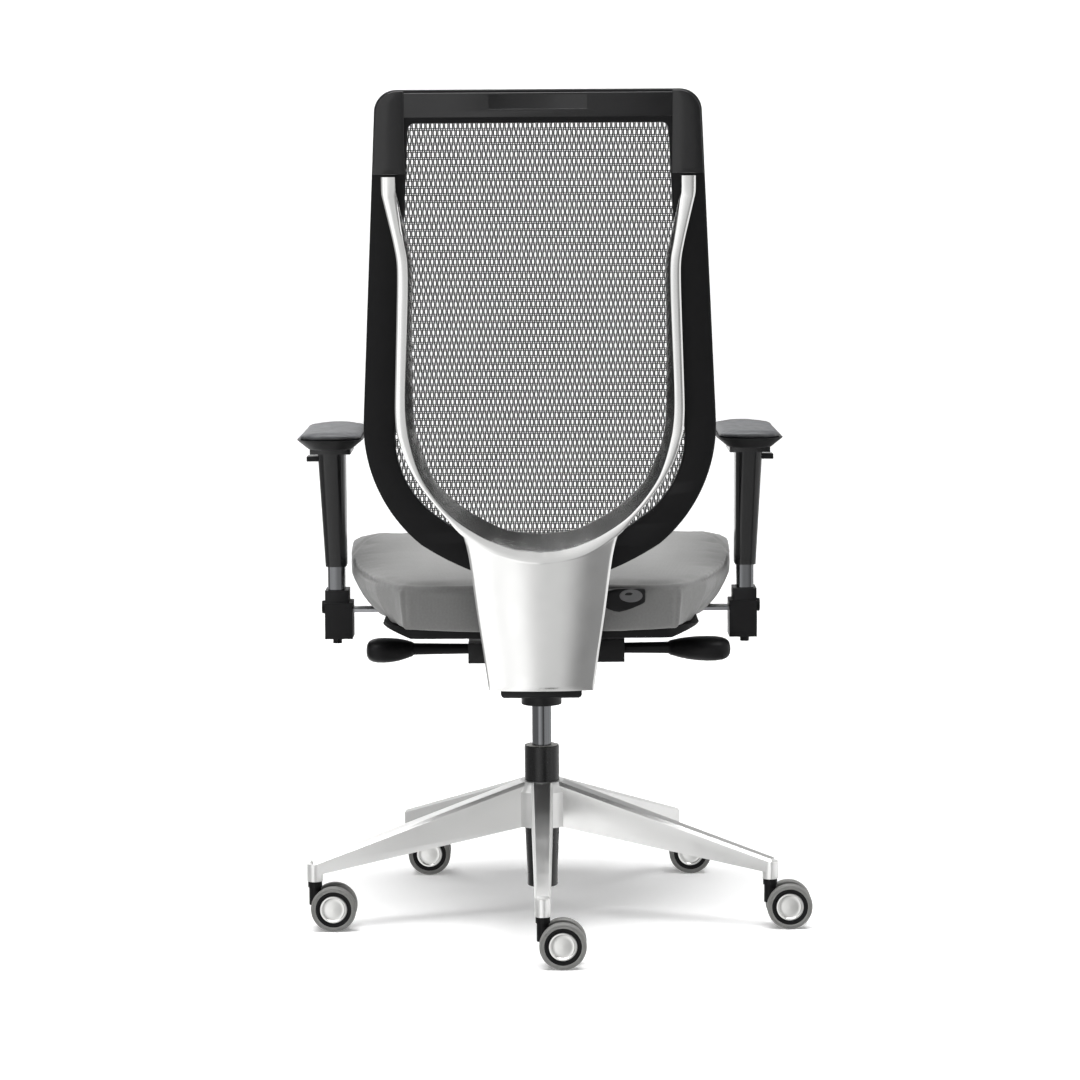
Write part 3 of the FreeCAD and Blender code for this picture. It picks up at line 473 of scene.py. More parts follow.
# ---------------------------------------------------------------- back
# The yoke's ring, right half from its tip down to the middle, front view, in mm:
# its outer edge, the crest of its face, and the foot of the bevel inside that crest
OUTER = [(209.6, 1063), (209.4, 1042), (207, 1030), (200, 1000), (194.5, 975), (190.6, 951),
         (190.2, 925), (191.6, 880), (193.8, 820), (195.6, 770), (196, 745), (194.7, 721),
         (191.5, 707), (187.5, 694), (182.6, 680), (176.4, 667), (168.8, 653), (160, 640),
         (150, 627), (138.6, 613), (126.5, 599), (113, 583), (90, 564.5), (70, 552.5),
         (53.6, 546), (28, 540), (0, 537)]
CREST = [(191, 1063), (190.8, 1042), (188.8, 1030), (184.5, 1000), (180.5, 975), (176.6, 951),
         (176.4, 915), (178, 870), (181, 800), (182, 762), (181.6, 740), (179.8, 721),
         (177.4, 708), (174.2, 694), (170.6, 681), (165.8, 667), (159.6, 653), (151.6, 640),
         (141.5, 626), (129.6, 612), (116, 599), (96, 585), (68.5, 570), (34, 558), (0, 554.3)]
INNER = [(190.5, 1063), (190, 1042), (187, 1030), (180.5, 1000), (175, 975), (170.5, 951),
         (170, 915), (171, 870), (172.2, 800), (171.8, 762), (171, 740), (169.4, 721),
         (166.6, 708), (162.8, 694), (157.6, 681), (151.6, 667), (144.6, 653), (134.6, 640),
         (120.4, 626), (104, 612), (83, 599), (46, 581.5), (0, 575.2)]
# How far the bevel falls back for each millimetre that it is wide
BEVEL_FALL = 1.62
# Height and rear face of the yoke, in mm
YOKE_FACE = [(353, -192), (400, -210), (463, -231), (520, -245), (560, -249.5), (620, -251),
             (700, -253), (800, -263), (951, -284), (1063, -297.5)]
# The least depth of the ring, in metres
RING_DEPTH = 14 * MM
# The plate's thickness, how far it lies in front of the ring's face, and how far its face
# falls away toward its sides, in metres
PLATE_THICK, PLATE_BACK, PLATE_CROWN = 10 * MM, 1.7 * MM, 9.5 * MM
# Half width of the yoke's plate by height, in mm
PLATE_SIDE = [(353, 72.8), (411, 80.0), (463, 87.6), (515, 94.5), (538, 98.3), (552, 102.0),
              (562, 107.5), (570, 114.0)]
# Height at which the plate's sides start under the ring, in metres
PLATE_TOP = 0.566
# How far the plate's top edge reaches up into the ring, in metres
PLATE_TUCK = 6 * MM
# The plate's grid: its columns, and how strongly they bunch toward its sides
PLATE_COLUMNS, PLATE_BUNCH = 44, math.pi / 2 * 0.86
# Pads that carry the back frame: middle (x, z) in metres, width and height in mm
LUGS = [((-0.2015, 1.040), (8, 34)), ((0.2015, 1.040), (8, 34)), ((0, 0.534), (120, 20))]


def yoke_face(z):
    """Y of the yoke's rear face at a height, in metres, from a smooth line."""
    line = curve_through(YOKE_FACE, 12) * MM
    return float(np.interp(z, line[:, 0], line[:, 1]))


def nearest_on(line, point):
    """The nearest point to another on a dense line."""
    return line[np.argmin(np.hypot(*(line - point).T))]


def ring_stations():
    """Outer edge, crest and inner foot of the ring, from one tip round to the other."""
    crest = curve_through(CREST, 6)
    outer, inner = (curve_through(line, 60) for line in (OUTER, INNER))
    half = [(*nearest_on(outer, point), *point, *nearest_on(inner, point)) for point in crest]
    half[0] = (*OUTER[0], *CREST[0], *INNER[0])
    half[-1] = (*OUTER[-1], *CREST[-1], *INNER[-1])
    rows = half + [(-a, b, -c, d, -e, f) for a, b, c, d, e, f in half[-2::-1]]
    return [tuple(number * MM for number in row) for row in rows]


def build_ring(stations):
    """The yoke's ring, with a crowned face and a bevel that falls back inside it."""
    rings = []
    for ox, oz, cx, cz, ix, iz in stations:
        outer, crest, inner = (np.array(p) for p in ((ox, oz), (cx, cz), (ix, iz)))
        drop = BEVEL_FALL * float(np.hypot(*(crest - inner)))
        face = yoke_face(cz)
        depth = max(RING_DEPTH, drop + 3 * MM)
        section = [
            (inner, depth), (inner, drop + 1.5 * MM), (inner * 0.96 + crest * 0.04, drop),
            (inner * 0.5 + crest * 0.5, drop * 0.52), (inner * 0.07 + crest * 0.93, drop * 0.09),
            (crest * 0.96 + outer * 0.04, 0), (crest * 0.8 + outer * 0.2, -0.2 * MM),
            (crest * 0.5 + outer * 0.5, -0.35 * MM), (crest * 0.2 + outer * 0.8, -0.2 * MM),
            (crest * 0.07 + outer * 0.93, 0.3 * MM), (crest * 0.01 + outer * 0.99, 1.2 * MM),
            (outer, 2.6 * MM), (outer, depth - 1 * MM), (outer * 0.96 + crest * 0.04, depth),
        ]
        rings.append([(p[0], face + y, p[1]) for p, y in section])
    return lofted("yoke_ring", rings)


def build_plate(stations):
    """The yoke's plate, from under the ring down to the mechanism."""
    side = np.array(PLATE_SIDE) * MM
    top_line = np.array([(r[0], r[1]) for r in stations])
    top_line = top_line[np.argsort(top_line[:, 0])]
    low = side[0, 0]
    rows = np.concatenate([[0, 0.012, 0.03, 0.05, 0.07], np.linspace(0.09, 0.985, 34), [1.0]])
    across = np.sin(np.linspace(-1, 1, PLATE_COLUMNS) * PLATE_BUNCH) / math.sin(PLATE_BUNCH)
    points, faces = [], []
    for v in rows:
        edge_z = PLATE_TOP * (1 - v) + low * v
        width = float(np.interp(edge_z, side[:, 0], side[:, 1]))
        for u in across:
            x = u * width
            z_top = float(np.interp(x, top_line[:, 0], top_line[:, 1])) + PLATE_TUCK
            z = z_top * (1 - v) + low * v
            crown = PLATE_CROWN * abs(u) ** 2.2
            edge = 1.6 * MM * max(0, (abs(u) - 0.975) / 0.025) ** 2
            foot = 1.5 * MM * max(0, (v - 0.985) / 0.015) ** 2
            points.append((x, yoke_face(z) + PLATE_BACK + crown + edge + foot, z))
    for i in range(len(rows) - 1):
        for k in range(PLATE_COLUMNS - 1):
            a = i * PLATE_COLUMNS + k
            faces.append((a, a + PLATE_COLUMNS, a + PLATE_COLUMNS + 1, a + 1))
    plate = new_mesh("yoke_plate", points, faces)
    apply(plate, "SOLIDIFY", thickness=PLATE_THICK, offset=-1)
    return plate


def yoke_lugs():
    """Pads that carry the back frame on the yoke: one at each tip and one at the foot."""
    made = []
    for (x, z), (wide, tall) in LUGS:
        front = float(back_y(z)) + 1.5 * MM
        rear = yoke_face(z) + PLATE_THICK
        made.append(block((x, (front + rear) / 2, z),
                          (wide * MM, abs(front - rear), tall * MM), 1.5, 2))
    return made


def build_yoke():
    stations = ring_stations()
    yoke = build_ring(stations)
    joined(yoke, [build_plate(stations), *yoke_lugs()])
    yoke.name = "yoke_casting"
    smooth(yoke, 32)
    settle(yoke, "back", MATERIALS["polished"], ["yoke"])


# The top rail's lean from upright
TOP_LEAN = math.atan(0.196)
# The trim along the top rail, and the recess in its middle: width, thickness and height in mm,
# height of its middle in metres, easing and how far it stands out in mm
TRIM = [(376, 2.4, 33, 1.1575, 1.0, 0.1), (132, 1.6, 20, 1.1615, 0.7, 1.3)]


def build_back_frame():
    thing = merged_copy("back_frame", "back_frame_moulding")
    apply(thing, "BEVEL", width=3.2 * MM, segments=4, limit_method="ANGLE",
          angle_limit=math.radians(35), use_clamp_overlap=True)
    smooth(thing, 30)
    settle(thing, "back", MATERIALS["nylon"], ["back_frame"])
    # A glossy trim along the top rail, with a blank recess in its middle
    slabs = []
    for wide, thick, tall, z, ease, out in TRIM:
        slab = block((0, 0, 0), (wide * MM, thick * MM, tall * MM), ease, 3)
        slab.data.transform(Matrix.Translation((0, float(back_y(z)) - out * MM, z))
                            @ Matrix.Rotation(TOP_LEAN, 4, "X"))
        slabs.append(slab)
    trim, cutter = slabs
    apply(trim, "BOOLEAN", operation="DIFFERENCE", object=cutter, solver="EXACT")
    bpy.data.objects.remove(cutter)
    trim.name = "top_rail_trim"
    smooth(trim, 30)
    settle(trim, "back", MATERIALS["gloss"])
    eased("corner_covers", 1.2, MATERIALS["gloss"])


# The mesh ends this far inside the frame's outline, in mm
MESH_INSET = 15.2
# The mesh's middle lies this far in front of the frame's rear face, in metres
MESH_STAND = 21.2 * MM
# Section of the strip that binds the mesh's edge, in mm: outward and forward
STRIP = [(0, -1.6), (2.6, -1.6), (3.4, -0.4), (3.4, 1.0), (2.2, 2.0), (0.4, 2.0), (-0.8, 1.2),
         (-0.8, -0.8)]


def outward_normals(outline):
    """A unit normal at each point of a closed anticlockwise outline."""
    step = np.roll(outline, -1, 0) - np.roll(outline, 1, 0)
    normal = np.stack([step[:, 1], -step[:, 0]], 1)
    return normal / np.linalg.norm(normal, axis=1)[:, None]


def sheet_outline(inset):
    """Closed outline of the back, front view, in metres, anticlockwise, inset all round."""
    side = [(64, 515), (110, 531), (164, 561), (203, 600), (230, 655), (241, 730)]
    right = curve_through(side, 10)
    top = [(218, 1148), (216.3, 1158), (209, 1169), (200, 1175.5), (188, 1178)]
    points = np.vstack([[(0, 515), (32, 515)], right, curve_through(top, 4)])
    points = np.vstack([points, points[::-1] * (-1, 1)])
    keep = [0]
    for i in range(1, len(points)):
        if np.linalg.norm(points[i] - points[keep[-1]]) > 0.5:
            keep.append(i)
    points = points[keep]
    if np.linalg.norm(points[0] - points[-1]) < 0.5:
        points = points[:-1]
    return (points - outward_normals(points) * inset) * MM


def half_width(z, outline):
    """Half width of an outline at a height."""
    right = outline[outline[:, 0] >= 0]
    order = np.argsort(right[:, 1])
    return np.interp(z, right[order, 1], right[order, 0])


def strand(points, faces, line, wide, deep, upright):
    """Adds one closed three-sided thread along a line of points to the lists."""
    start = len(points)
    for x, y, z in line:
        if upright:
            points.extend([(x - wide / 2, y + deep / 3, z), (x, y - 2 * deep / 3, z),
                           (x + wide / 2, y + deep / 3, z)])
        else:
            points.extend([(x, y + deep / 3, z - wide / 2), (x, y + deep / 3, z + wide / 2),
                           (x, y - 2 * deep / 3, z)])
    for i in range(len(line) - 1):
        a = start + i * 3
        for k in range(3):
            n = (k + 1) % 3
            faces.append((a + k, a + n, a + 3 + n, a + 3 + k))
    faces.append((start + 2, start + 1, start))
    end = start + (len(line) - 1) * 3
    faces.append((end, end + 1, end + 2))


def build_back_mesh(sizes):
    outline = sheet_outline(MESH_INSET)
    low, high = outline[:, 1].min(), outline[:, 1].max()
    pitch, row = sizes.yarn_pitch, sizes.yarn_row
    # Each yarn swings from side to side once every two courses, so that neighbours meet
    # in pairs and leave tall eyes that lie like bricks
    heights = np.arange(low + 0.6 * MM, high - 0.6 * MM, row / 3)
    swing = np.array([0.0, 0.88, 0.88, 0.0, -0.88, -0.88])
    reach = pitch / 4 - sizes.yarn_width / 2
    widths = half_width(heights, outline)
    depth = back_y(heights) + MESH_STAND
    points, faces = [], []
    yarns = int(widths.max() / (pitch / 2)) + 1
    for yarn in range(-yarns, yarns + 1):
        side = 1 if yarn % 2 else -1
        x = yarn * pitch / 2 + side * reach * swing[np.arange(len(heights)) % 6]
        held = np.flatnonzero(np.abs(x) < widths)
        for run in np.split(held, np.flatnonzero(np.diff(held) > 1) + 1):
            if len(run) > 2:
                line = [(x[i], depth[i] + 0.2 * side * MM, heights[i]) for i in run]
                strand(points, faces, line, sizes.yarn_width, 1.3 * MM, upright=True)
    # Two thin threads cross between one course and the next
    for i in range(0, len(heights), 3):
        for shift in (-0.13, 0.13):
            z = heights[i] + shift * row
            if low + MM < z < high - MM:
                limit = float(half_width(z, outline)) - 0.6 * MM
                y = float(back_y(z)) + MESH_STAND
                line = [(t * limit, y, z) for t in np.linspace(-1, 1, 5)]
                strand(points, faces, line, 1.3 * MM, 0.9 * MM, upright=False)
    cloth = new_mesh("back_mesh_knit", points, faces)
    outwards(cloth)
    smooth(cloth, 80)
    settle(cloth, "back", MATERIALS["yarn"], ["back_mesh"])
    rings = []
    for p, n in zip(outline, outward_normals(outline)):
        y = float(back_y(p[1])) + MESH_STAND
        rings.append([(p[0] + n[0] * a * MM, y + b * MM, p[1] + n[1] * a * MM)
                      for a, b in STRIP])
    strip = lofted("back_mesh_edge_strip", rings, closed=True)
    smooth(strip, 50)
    settle(strip, "back", MATERIALS["nylon"])


# ---------------------------------------------------------------- seat and pads
def stuffed(thing, voxel, pressure, cap, frames=20):
    """Remeshes a closed form and lets Cloth swell it, then caps how far a point has moved."""
    pick(thing)
    thing.data.remesh_voxel_size = voxel
    bpy.ops.object.voxel_remesh()
    rest = points_of(thing)
    cloth = thing.modifiers.new("Cloth", "CLOTH")
    cloth.settings.use_pressure = True
    cloth.settings.uniform_pressure_force = pressure
    cloth.settings.effector_weights.gravity = 0
    cloth.settings.tension_stiffness = 20
    cloth.settings.compression_stiffness = 20
    cloth.settings.bending_stiffness = 2
    cloth.settings.quality = 4
    cloth.collision_settings.use_collision = False
    scene = bpy.context.scene
    scene.frame_start = 1
    scene.frame_end = frames
    for step in range(1, frames + 1):
        scene.frame_set(step)
    pick(thing)
    bpy.ops.object.modifier_apply(modifier="Cloth")
    scene.frame_set(1)
    moved = points_of(thing) - rest
    far = np.linalg.norm(moved, axis=1)
    share = np.minimum(1, cap / np.maximum(far, 1e-9))
    move_points(thing, rest + moved * share[:, None])
    apply(thing, "SMOOTH", factor=0.5, iterations=2)


def groove(thing, lines, depth, width):
    """Presses a sewn seam into a surface along lines of points."""
    co = points_of(thing)
    normals = np.empty(co.size)
    thing.data.vertex_normals.foreach_get("vector", normals)
    normals = normals.reshape(-1, 3)
    dense = np.vstack([curve_through(line, 24) for line in lines])
    near = np.full(len(co), 1e9)
    for part in np.array_split(dense, 40):
        gap = np.linalg.norm(co[:, None, :] - part[None, :, :], axis=2).min(1)
        near = np.minimum(near, gap)
    push = depth * np.exp(-(near / width) ** 2)
    puff = 0.35 * depth * np.exp(-((near - 2.4 * width) / (1.3 * width)) ** 2)
    move_points(thing, co + normals * (puff - push)[:, None])


# The form that is stuffed, as a share of the CAD cushion along X, Y and Z
CUSHION_FORM = (0.992, 0.992, 0.97)
# How far the rear panel and the sides hang over the pan, in metres
REAR_HANG, SIDE_HANG = 12 * MM, 8 * MM
# How far the cushion is widened along its depth, in metres and as a factor
CORNER_REACH = [-0.20, -0.185, -0.117, -0.042, 0.05, 0.15]
CORNER_SPREAD = [1.0, 1.02, 1.09, 1.085, 1.06, 1.045]
# Right half of the seam round the top edge of the cushion's sides, in metres, rear to front
RIM_SEAM = [(0.0, -0.192, 0.499), (0.1, -0.192, 0.499), (0.192, -0.189, 0.499),
            (0.247, -0.117, 0.501), (0.281, -0.042, 0.503), (0.285, 0.05, 0.508),
            (0.272, 0.12, 0.512), (0.256, 0.19, 0.515), (0.215, 0.25, 0.512),
            (0.14, 0.279, 0.507), (0.0, 0.284, 0.506)]
# The upright seams at the rear corners: distance from the middle, foot and head, in metres
CORNER_X, CORNER_FOOT, CORNER_HEAD = 0.190, 0.446, 0.498
# Depth and width of a seam, in metres
SEAM_DEPTH, SEAM_WIDTH = 2.4 * MM, 2.6 * MM


def build_seat(sizes):
    cushion, low, high = inset_copy("seat_cushion", "seat_cushion_cover", CUSHION_FORM)
    stuffed(cushion, sizes.cushion_voxel, 4.0, 4.5 * MM)
    apply(cushion, "SUBSURF", levels=1, render_levels=1)
    co = points_of(cushion)
    # flat underneath, where it lies on the pan
    co[:, 2] = np.maximum(co[:, 2], low.z + 1 * MM)
    # the rear panel hangs over the pan's edge, most in the middle
    rear = np.clip((low.y + 14 * MM - co[:, 1]) / (8 * MM), 0, 1)
    foot = np.clip((0.470 - co[:, 2]) / 0.028, 0, 1)
    co[:, 2] -= REAR_HANG * rear * foot * np.clip(1 - (co[:, 0] / 0.2) ** 2, 0, 1)
    # the stuffing fills the rear corners out, and the sides hang a little over the pan
    co[:, 0] *= np.interp(co[:, 1], CORNER_REACH, CORNER_SPREAD)
    outer = np.clip((np.abs(co[:, 0]) - 0.20) / 0.05, 0, 1)
    lower = np.clip((0.490 - co[:, 2]) / 0.03, 0, 1)
    co[:, 2] -= SIDE_HANG * outer * lower
    move_points(cushion, co)
    mesh = bmesh.new()
    mesh.from_mesh(cushion.data)
    tree = BVHTree.FromBMesh(mesh)
    mesh.free()
    lines = []
    for side in (-1, 1):
        # upright seam at each rear corner
        lines.append([(side * CORNER_X, low.y, z)
                      for z in np.linspace(CORNER_FOOT, CORNER_HEAD, 8)])
    lines.append(RIM_SEAM + [(-x, y, z) for x, y, z in RIM_SEAM[-2::-1]])
    sewn = [[tuple(tree.find_nearest(Vector(p))[0]) for p in line] for line in lines]
    groove(cushion, sewn, SEAM_DEPTH, SEAM_WIDTH)
    smooth(cushion, 180)
    settle(cushion, "seat", MATERIALS["fabric"], ["seat_cushion"])
    eased("seat_pan", 2.5, MATERIALS["nylon"])


# The form of an arm pad that is stuffed, as a share of the CAD pad along X, Y and Z
PAD_FORM = (0.975, 0.99, 0.9)
# How far a pad's top rises in its middle, and falls away from there to its sides, in mm
PAD_RISE, PAD_FALL = 1.6, 3.0
# Hard parts of an armrest: name, easing in mm, finish and steps of the easing
ARM_PARTS = [("pad_shell", 1.6, "nylon", 3), ("sleeve", 1.6, "gloss", 3),
             ("trigger", 1.5, "nylon", 3), ("post", 5.0, "chrome", 5), ("socket", 2.5, "nylon", 3),
             ("knob", 1.0, "nylon", 3), ("bracket", 1.2, "zinc", 3)]


def build_arms():
    for side in ("left", "right"):
        arm = side + "_arm_"
        pad, low, high = inset_copy(arm + "pad", arm + "pad_cover", PAD_FORM)
        stuffed(pad, 4 * MM, 3.0, 3 * MM, 12)
        apply(pad, "SUBSURF", levels=1, render_levels=1)
        # the top is crowned across, and the underside lies flat on its shell
        co = points_of(pad)
        across = (co[:, 0] - (low.x + high.x) / 2) / ((high.x - low.x) / 2)
        lift = np.clip((co[:, 2] - low.z) / (high.z - low.z), 0, 1)
        co[:, 2] = low.z + (co[:, 2] - low.z) + lift * (PAD_RISE - PAD_FALL * across ** 2) * MM
        co[:, 2] = np.maximum(co[:, 2], low.z + 0.2 * MM)
        move_points(pad, co)
        smooth(pad, 180)
        settle(pad, arm + "rest", MATERIALS["pad"], [arm + "pad"])
        for part, width, finish_name, segments in ARM_PARTS:
            eased(arm + part, width, MATERIALS[finish_name], segments=segments)


# ---------------------------------------------------------------- base and running gear
def build_base():
    eased("base_star", 3.0, MATERIALS["satin"], segments=4, shade=30)
    eased("column_tube", 1.2, MATERIALS["enamel"])
    paint(["column_bush", "thrust_bearing"], "acetal")
    paint(["piston_rod", "column_clip"], "zinc")
    paint(["gas_cylinder"], "chrome")
    paint(["release_pin"], "zinc")


# Half sections of a caster wheel's tyre, rim and hub cap, in mm: radius and distance outward
TYRE = [(25.4, 5.6), (26.6, 6.3), (28.0, 6.4), (28.5, 6.0), (29.2, 6.2), (30.4, 6.0), (31.4, 5.2),
        (32.0, 4.0), (32.2, 2.2), (32.2, -2.2), (32.0, -4.0), (31.4, -5.2), (30.2, -6.2),
        (27.0, -6.5), (25.4, -6.3), (25.4, 5.6)]
RIM = [(4.1, 2.0), (19.0, 2.0), (19.4, 3.0), (20.0, 5.0), (20.8, 5.5), (22.6, 5.7), (24.6, 5.9),
       (25.4, 5.6), (25.4, -6.2), (23.0, -6.5), (19.5, -4.0), (9.0, -4.0), (7.5, -6.4), (4.1, -6.4),
       (4.1, 2.0)]
CAP = [(0.2, 4.9), (6.0, 4.7), (11.0, 4.2), (14.6, 3.9), (15.4, 4.2), (16.0, 5.4), (16.8, 6.1),
       (18.0, 6.2), (19.0, 5.8), (19.5, 4.6), (19.5, 2.4), (0.2, 2.4)]
# Half the distance between a caster's two wheels, in metres
WHEEL_SPACING = 15.7 * MM
# Parts of one wheel: name, section, finish, slot, the CAD node stood for, steps round
WHEEL_PARTS = [("tyre", TYRE, "tyre", "tyre_grey", "tyres", 72),
               ("rim", RIM, "nylon", "black_nylon", "wheels", 64),
               ("cap", CAP, "cap", "bright_steel", None, 48)]


def build_casters():
    for number in CASTERS:
        name = "caster_%d_" % number
        low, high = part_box(name + "tyres")
        centre = (low + high) / 2
        for row, side in (("near", -1), ("far", 1)):
            at = centre + Vector((0, side * WHEEL_SPACING, 0))
            for part, profile, material, slot, node, segments in WHEEL_PARTS:
                piece = turned(name + row + "_" + part, profile, at, (0, side, 0), segments)
                smooth(piece, 34)
                stood = [name + node] if node and row == "near" else ()
                settle(piece, name + "wheel", MATERIALS[material], stood)
        eased(name + "hood", 1.5, MATERIALS["nylon"])
        paint([name + "pins"], "zinc")


# Height of the underside of the mechanism's housing, whose long edges are well rounded
SUMP_FOOT = 0.320
# Radius of those long edges, in metres
SUMP_ROUND = 7 * MM


def build_mechanism():
    housing = merged_copy("mechanism_housing", "mechanism_housing_casting")
    pick(housing)
    bpy.ops.object.mode_set(mode="EDIT")
    mesh = bmesh.from_edit_mesh(housing.data)
    for edge in mesh.edges:
        across = max(abs(v.co.x) for v in edge.verts) > 30 * MM
        edge.select = across and all(abs(v.co.z - SUMP_FOOT) < 0.6 * MM for v in edge.verts)
    bmesh.update_edit_mesh(housing.data)
    bpy.ops.mesh.bevel(offset=SUMP_ROUND, segments=5)
    bpy.ops.object.mode_set(mode="OBJECT")
    apply(housing, "BEVEL", width=1.4 * MM, segments=2, limit_method="ANGLE",
          angle_limit=math.radians(30), use_clamp_overlap=True)
    smooth(housing, 35)
    settle(housing, "mechanism", MATERIALS["powder"], ["mechanism_housing"])
    eased("back_carrier", 1.5, MATERIALS["powder"])
    eased("seat_plate", 0.8, MATERIALS["powder"])
    paint(["mechanism_cover"], "nylon")
    paint(["pivot_shafts", "tension_springs", "bracket_screws"], "zinc")


# Each lever: name, side, and where its shaft starts and its paddle starts and ends, in mm
LEVERS = [("height_lever", 1, 0, 187, 273), ("tilt_lever", -1, 56, 187, 252)]
# A lever from its foot outwards, in mm: distance along, centre Y, half depth, half height
SHAFT = [(20, 18, 6.6, 6.6), (60, 18, 6.8, 6.8), (110, 18, 7.4, 7.4), (150, 18, 7.9, 7.9),
         (178, 18, 8.3, 8.3), (184, 18, 8.5, 8.5), (186, 18, 10.4, 10.0)]
# The paddle on its end: share of its length, centre Y, half depth, half height
PADDLE = [(0.00, 17.5, 12.0, 10.6), (0.06, 16.5, 14.5, 11.8), (0.16, 14, 18.5, 13.8),
          (0.30, 10.5, 23.0, 15.8), (0.45, 8, 26.0, 17.0), (0.60, 6.5, 27.6, 17.5),
          (0.75, 6, 28.0, 17.2), (0.86, 6, 26.6, 15.9), (0.93, 6.5, 23.5, 13.6),
          (0.97, 7.2, 19.5, 10.8), (0.99, 8, 15.0, 7.8), (1.00, 8.5, 9.0, 4.2)]
# The rear paddle from its root to its tip, in mm: x, y, z, half depth, half height
WING = [(79, -202, 484, 4.6, 4.6), (80, -202, 484, 6.0, 6.2), (84, -202, 483.5, 7.0, 8.6),
        (92, -202, 482.6, 7.4, 12.6), (100, -202, 482, 7.5, 15.4), (108, -202, 481.8, 7.5, 16.4),
        (117, -202, 482.8, 7.4, 15.4), (127, -202, 484.5, 7.1, 13.6), (136, -202, 486.4, 6.5, 11.7),
        (141, -202, 487.4, 5.8, 10.4), (143.4, -202, 487.8, 4.4, 8.8), (144, -202, 488, 2.6, 6.4)]
# The finger on the height lever that presses the release pin: place and size in metres
FINGER_PLACE, FINGER_SIZE = (0, 0.007, 0.3772), (0.010, 0.022, 0.0136)
# Half section of the thumb pad: radius and height in mm
THUMB = [(0.3, 1.0), (8.0, 1.2), (13.0, 1.7), (15.0, 1.9), (15.8, 1.5), (16.0, 0.4), (15.6, -2.0),
         (0.3, -2.0)]
# The thumb pad's place in metres, its tilt in degrees, and its height as a share of its width
THUMB_PLACE, THUMB_TILT, THUMB_OVAL = (0.1240, -0.2082, 0.4885), -9, 0.56


def drawn_out(name, stations, way, power=2.4, sides=40):
    """Draws a soft-cornered oval out along X through stations of (x, y, z, deep, tall) in mm."""
    deselect()
    x, y, z, deep, tall = stations[0]
    bpy.ops.mesh.primitive_circle_add(vertices=sides, radius=MM, location=(0, 0, 0),
                                      rotation=(math.pi / 2, 0, math.pi / 2))
    thing = bpy.context.object
    thing.name = name
    bpy.ops.object.transform_apply(location=True, rotation=True, scale=True)
    for vertex in thing.data.vertices:
        for axis in (1, 2):
            part = vertex.co[axis] / MM
            vertex.co[axis] = math.copysign(abs(part) ** (2 / power), part) * MM
    thing.data.transform(Matrix.Translation((way * x * MM, y * MM, z * MM))
                         @ Matrix.Diagonal((1, deep, tall, 1)))
    bpy.ops.object.mode_set(mode="EDIT")
    bpy.ops.mesh.select_all(action="SELECT")
    for x_now, y_now, z_now, deep_now, tall_now in stations[1:]:
        move = (way * (x_now - x) * MM, (y_now - y) * MM, (z_now - z) * MM)
        bpy.ops.mesh.extrude_region_move(TRANSFORM_OT_translate={"value": move})
        bpy.ops.transform.resize(value=(1, deep_now / deep, tall_now / tall),
                                 center_override=(way * x_now * MM, y_now * MM, z_now * MM))
        x, y, z, deep, tall = x_now, y_now, z_now, deep_now, tall_now
    bpy.ops.mesh.select_all(action="SELECT")
    bpy.ops.mesh.region_to_loop()
    bpy.ops.mesh.fill()
    bpy.ops.object.mode_set(mode="OBJECT")
    outwards(thing)
    return thing


def build_levers():
    for name, side, foot, start, end in LEVERS:
        low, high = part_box(name)
        level = (low.z + high.z) / 2 / MM
        rows = [(foot, 18, 6.4, 6.4)] + [row for row in SHAFT if row[0] > foot]
        rows += [(start + share * (end - start), y, deep, tall)
                 for share, y, deep, tall in PADDLE]
        piece = drawn_out(name + "_moulding", [(x, y, level, deep, tall)
                                               for x, y, deep, tall in rows], side)
        apply(piece, "BEVEL", width=0.8 * MM, segments=2, limit_method="ANGLE",
              angle_limit=math.radians(40))
        if name == "height_lever":
            joined(piece, [block(FINGER_PLACE, FINGER_SIZE, 1, 2)])
        smooth(piece, 40)
        settle(piece, name, MATERIALS["nylon"], [name])
    wing = drawn_out("rear_paddle_moulding", WING, 1, 3.4)
    smooth(wing, 40)
    settle(wing, "rear_paddle", MATERIALS["nylon"], ["rear_paddle"])
    pad = turned("rear_paddle_thumb_pad", THUMB, (0, 0, 0), (0, -1, 0), 56)
    pad.data.transform(Matrix.Translation(THUMB_PLACE)
                       @ Matrix.Rotation(math.radians(THUMB_TILT), 4, "X")
                       @ Matrix.Diagonal((1.0, 1.0, THUMB_OVAL, 1)))
    smooth(pad, 50)
    settle(pad, "rear_paddle", MATERIALS["grip"])


# ---------------------------------------------------------------- studio
# The paper sweep, in metres: half its width, where it starts to curve up, the curve's radius
# and its full height
SWEEP_HALF, SWEEP_TURN, SWEEP_RADIUS, SWEEP_TOP = 9.0, 3.6, 1.6, 6.0
# How bright the mirrored room is along each axis: axis, start, end, level before and after.
# It is bright on the left, dim on the right, strong low at the far right and dim overhead.
ROOM_SPANS = [("X", -0.42, 0.42, 1.75, 0.28), ("X", -0.80, -0.42, 0.3, 1.0),
              ("X", 0.44, 0.60, 1.0, 4.2), ("Z", 0.5, 0.85, 1.0, 0.3)]
# Softboxes: name, place, aim and size in metres, power in watts
LAMPS = [("key_softbox", (-2.6, -1.6, 2.3), (0, 0, 0.6), (0.6, 2.0), 18),
         ("strip_softbox", (1.9, -2.9, 1.4), (0, 0, 0.6), (0.2, 1.9), 4),
         ("top_softbox", (0, -0.5, 3.2), (0, 0, 0), (3.0, 1.6), 185)]
# The camera: its place in metres, tilt from straight down and roll in degrees, lens and
# film width in mm
EYE, PITCH, ROLL, LENS, FILM = (-0.0007, -4.6939, 1.0615), 90 - 6.297, -0.35, 109.52, 36


